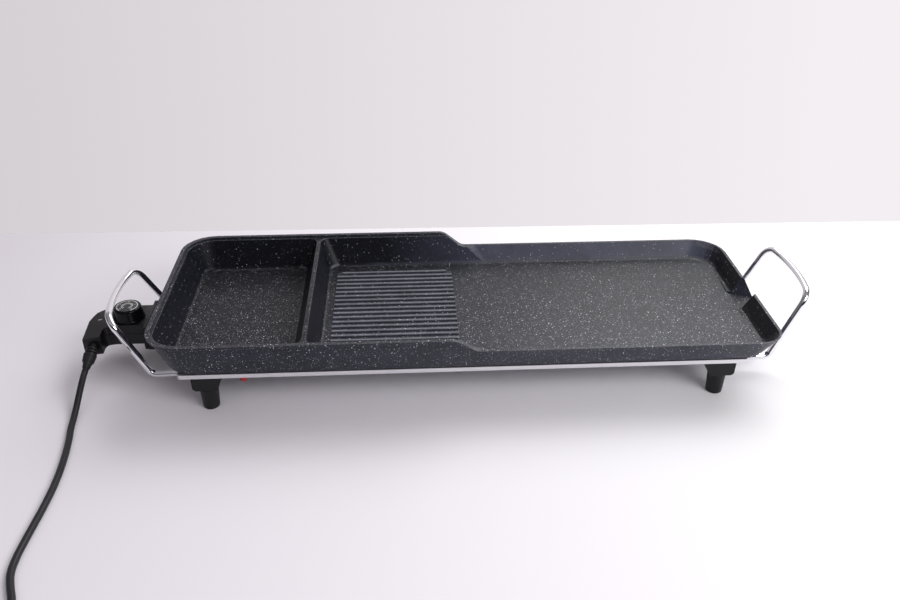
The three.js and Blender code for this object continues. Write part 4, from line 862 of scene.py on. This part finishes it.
def paintedBar(name, under, bar, body, finish):
    left, back = bar["fromKnob"]
    length, width = bar["size"]
    above = Vector((knobX + left, knobY + back, paint["above"])) * mm
    point, normal = under.ray_cast(above, Vector((0, 0, -1)))[1:3]
    clearSelection()
    bpy.ops.mesh.primitive_plane_add(size=1, location=(0, 0, 0))
    piece = nameNew(name)
    piece.scale = (length * mm, width * mm, 1)
    bpy.ops.object.transform_apply(location=False, rotation=False, scale=True)
    bpy.ops.object.mode_set(mode="EDIT")
    bpy.ops.mesh.select_all(action="SELECT")
    bpy.ops.mesh.bevel(offset=width * paint["softness"] * mm, segments=paint["steps"], affect="VERTICES")
    bpy.ops.mesh.select_all(action="SELECT")
    bpy.ops.mesh.extrude_region_move(TRANSFORM_OT_translate={"value": (0, 0, paint["thick"] * mm)})
    bpy.ops.mesh.select_all(action="SELECT")
    bpy.ops.mesh.normals_make_consistent(inside=False)
    bpy.ops.object.mode_set(mode="OBJECT")
    along = (Vector((1, 0, 0)) - normal * normal.x).normalized()
    lie = Matrix((along, normal.cross(along), normal)).transposed().to_4x4()
    heading = Matrix.Rotation(math.radians(bar["heading"]), 4, "Z")
    piece.matrix_world = Matrix.Translation(point) @ lie @ heading
    bpy.ops.object.transform_apply(location=True, rotation=True, scale=True)
    return fit(piece, "dial_print", body, finish=finish)


paintedBar("indexMark", shells["top"], indexBar, "probe", inkWhite)
paintedBar("dialRedMark", dialFace, redBar, "knob", inkRed)
print("knob and dial finished")

# Strain relief: collar, cap and tapering rings along the lead
relief = {
    "back": 27, "sides": 32, "smooth": 38,
    "profile": ((5.2, -11.7), (5.2, -8.7), (3.9, -8.7), (3.9, 3.0), (6.0, 3.0), (6.3, 3.4), (6.3, 4.9),
                (6.0, 5.3), (4.6, 5.3), (4.6, 6.5), (6.4, 6.6), (6.6, 7.0), (6.6, 8.4), (6.3, 8.8),
                (4.9, 8.8), (4.9, 10.2), (6.9, 10.4), (7.2, 11.0), (7.2, 12.2), (6.4, 19.6), (5.9, 20.6),
                (5.2, 21.3), (4.6, 23.2), (4.2, 27.0), (3.9, 27.6), (3.3, 27.8)),
}
root = Vector(lead["exit"]) - Vector(lead["aim"]) * relief["back"]
sleeve = turnedPiece("cordSleeve", relief["profile"], relief["sides"], root, lead["aim"])
fit(smooth(sleeve, relief["smooth"]), "black_rubber", "probe", "strain_relief")

# Plug: the moulded body with softened edges and finger grooves, which lie at whole tenths of a millimetre
plug = {"grooves": 4, "grooveStart": 19.1, "groovePitch": 4.0, "grooveDepth": 0.7, "grooveWidth": 1.6,
        "reach": 0.1, "sideways": 0.3, "edge": 0.5, "steps": 2, "sharp": 40}


def plugBody():
    piece = copyOfNode("plug_body", "plugBody")
    pick(piece)
    bpy.ops.object.mode_set(mode="EDIT")
    start = round(boxOf("plug_body")[0].y + plug["grooveStart"], 1)
    grooves = [start - plug["groovePitch"] * index for index in range(plug["grooves"])]
    for y in grooves:
        for cut in (y - plug["grooveWidth"] / 2, y + plug["grooveWidth"] / 2):
            bpy.ops.mesh.select_all(action="SELECT")
            bpy.ops.mesh.bisect(plane_co=(0, cut * mm, 0), plane_no=(0, 1, 0))
    bpy.ops.mesh.select_mode(type="FACE")
    bpy.ops.mesh.select_all(action="DESELECT")
    mesh = bmesh.from_edit_mesh(piece.data)
    for face in mesh.faces:
        middle = face.calc_center_median().y / mm
        inGroove = any(abs(middle - y) < plug["reach"] for y in grooves)
        if inGroove and abs(face.normal.y) < plug["sideways"]:
            face.select_set(True)
    bmesh.update_edit_mesh(piece.data)
    bpy.ops.mesh.inset(thickness=0, depth=-plug["grooveDepth"] * mm, use_even_offset=True)
    bpy.ops.object.mode_set(mode="OBJECT")
    return smooth(roundEdges(piece, plug["edge"], plug["steps"], plug["sharp"]))


plugPiece = fit(plugBody(), "black_rubber", "probe", "plug_body")

# Tie: a strip bent round one side of the coil
tie = {"out": 35.0, "across": 20.2, "tall": 14.1, "width": 4.0, "sheet": 0.12, "bend": 3.6, "steps": 5}


def coilTie():
    clearSelection()
    bpy.ops.mesh.primitive_cube_add(size=1, location=(0, 0, 0))
    piece = nameNew("coilTie")
    piece.scale = (tie["across"] * mm, tie["width"] * mm, tie["tall"] * mm)
    bpy.ops.object.transform_apply(location=False, rotation=False, scale=True)
    bpy.ops.object.mode_set(mode="EDIT")
    bpy.ops.mesh.select_mode(type="FACE")
    bpy.ops.mesh.select_all(action="DESELECT")
    mesh = bmesh.from_edit_mesh(piece.data)
    for face in mesh.faces:
        face.select_set(abs(round(face.normal.y)) == 1)
    bmesh.update_edit_mesh(piece.data)
    bpy.ops.mesh.delete(type="FACE")
    bpy.ops.mesh.select_mode(type="EDGE")
    bpy.ops.mesh.select_all(action="DESELECT")
    mesh = bmesh.from_edit_mesh(piece.data)
    for edge in mesh.edges:
        edge.select_set(abs(edge.verts[0].co.y - edge.verts[1].co.y) > tie["width"] * mm / 2)
    bmesh.update_edit_mesh(piece.data)
    bpy.ops.mesh.bevel(offset=tie["bend"] * mm, segments=tie["steps"], affect="EDGES")
    bpy.ops.object.mode_set(mode="OBJECT")
    bpy.ops.object.modifier_add(type="SOLIDIFY")
    piece.modifiers[-1].thickness = tie["sheet"] * mm
    piece.modifiers[-1].offset = 1
    bpy.ops.object.modifier_apply(modifier=piece.modifiers[-1].name)
    coilX, coilY = lead["coilCentre"]
    place = Vector((coilX + tie["out"], coilY, lead["route"][-1][2] + lead["coilRise"] / 2))
    piece.matrix_world = Matrix.Translation(place * mm)
    bpy.ops.object.transform_apply(location=True, rotation=True, scale=True)
    return smooth(piece)


tiePiece = fit(coilTie(), "black_rubber", "probe")
print("relief, plug and tie finished")

# Floor, world and lamps. The world's spans are parts of a direction, so they run from -1 to 1.
studio = {
    "floorBack": 0.3285, "floorTurn": -0.9, "floorFront": -3.0, "floorSide": 3.2,
    "floorLeft": (0.74, 0.705, 0.765), "floorMiddle": (0.82, 0.80, 0.835), "floorRight": (0.90, 0.89, 0.91),
    "leftSpan": (-0.75, -0.1), "rightSpan": (-0.1, 0.5), "floorRough": 0.65, "floorGloss": 0.2,
    "wallLeft": (0.64, 0.605, 0.63), "wallRight": (0.90, 0.865, 0.89), "wallSpan": (-0.5, 0.45),
    "dark": (0.035, 0.035, 0.045), "sideShift": 0.04, "sideSpan": (0.60, 0.72), "sideShare": 0.8,
    "ceilingSpan": (0.55, 0.75), "ceilingShare": 0.65, "behind": (-0.75, -0.45), "below": (0.48, 0.62),
    "key": {"place": (0.80, 0.75, 1.35), "aim": (0.05, 0.0, 0.05), "size": (1.5, 1.1), "power": 21},
    "fill": {"place": (1.15, -1.35, 1.25), "aim": (0.0, 0.0, 0.05), "size": (1.2, 0.8), "power": 19},
    "roomLight": 0.80,
}

clearSelection()
bpy.ops.mesh.primitive_plane_add(size=1, location=(0, 0, 0))
tableTop = nameNew("tableTop")
tableTop.scale = (2 * studio["floorSide"], studio["floorBack"] - studio["floorFront"], 1)
tableTop.location = (0, (studio["floorBack"] + studio["floorFront"]) / 2, 0)
tableTop.rotation_euler.z = math.radians(studio["floorTurn"])
bpy.ops.object.transform_apply(location=True, rotation=True, scale=True)
paper, paperTree, paperShader = newFinish("paperWhite", studio["floorMiddle"], studio["floorRough"])
paperShader.inputs["Specular IOR Level"].default_value = studio["floorGloss"]
# painted shade and painted light on the table: darker toward the left, lighter toward the right
across = splitVector(paperTree, objectPlace(paperTree))["X"]
toMiddle = remap(paperTree, across, *studio["leftSpan"])
toRight = remap(paperTree, across, *studio["rightSpan"])
paperLightAndShade = blendColor(paperTree, toMiddle, studio["floorLeft"], studio["floorMiddle"])
paperLightAndShade = blendColor(paperTree, toRight, paperLightAndShade, studio["floorRight"])
paperTree.links.new(paperLightAndShade, paperShader.inputs["Base Color"])
tableTop.data.materials.append(paper)

world = bpy.data.worlds.new("studioRoom")
world.use_nodes = True
scene.world = world
room = world.node_tree
background = room.nodes["Background"]
direction = splitVector(room, addNode(room, "ShaderNodeTexCoord").outputs["Generated"])
rays = addNode(room, "ShaderNodeLightPath").outputs
wallShare = remap(room, direction["X"], *studio["wallSpan"])
wall = blendColor(room, wallShare, studio["wallLeft"], studio["wallRight"])
# both sides out of the picture are dim, so the chrome has something dark to reflect
sideways = math2(room, "ABSOLUTE", math2(room, "ADD", direction["X"], studio["sideShift"]))
side = remap(room, sideways, *studio["sideSpan"], 0, studio["sideShare"])
# in a reflection the ceiling is grey
ceiling = times(room, remap(room, direction["Z"], *studio["ceilingSpan"], 0, studio["ceilingShare"]),
                rays["Is Glossy Ray"])
# the room behind the camera is dark below the lamps
shade = times(room, remap(room, direction["Y"], *studio["behind"], 1, 0),
              remap(room, direction["Z"], *studio["below"], 1, 0))
for share in (side, ceiling, shade):
    wall = blendColor(room, share, wall, studio["dark"])
room.links.new(wall, background.inputs["Color"])
# seen straight or in a reflection the room has its full brightness, and less as a lamp
seen = math2(room, "MAXIMUM", rays["Is Camera Ray"],
             math2(room, "MAXIMUM", rays["Is Glossy Ray"], rays["Is Transmission Ray"]))
room.links.new(remap(room, seen, 0, 1, studio["roomLight"], 1.0), background.inputs["Strength"])


def softLamp(name, values):
    data = bpy.data.lights.new(name, "AREA")
    data.shape = "RECTANGLE"
    data.size, data.size_y = values["size"]
    data.energy = values["power"]
    softLight = bpy.data.objects.new(name, data)
    scene.collection.objects.link(softLight)
    softLight.location = values["place"]
    toward = Vector(values["aim"]) - Vector(values["place"])
    softLight.rotation_euler = toward.to_track_quat("-Z", "Y").to_euler()


softLamp("keyLamp", studio["key"])
softLamp("fillLamp", studio["fill"])
print("studio lit")

clearSelection()
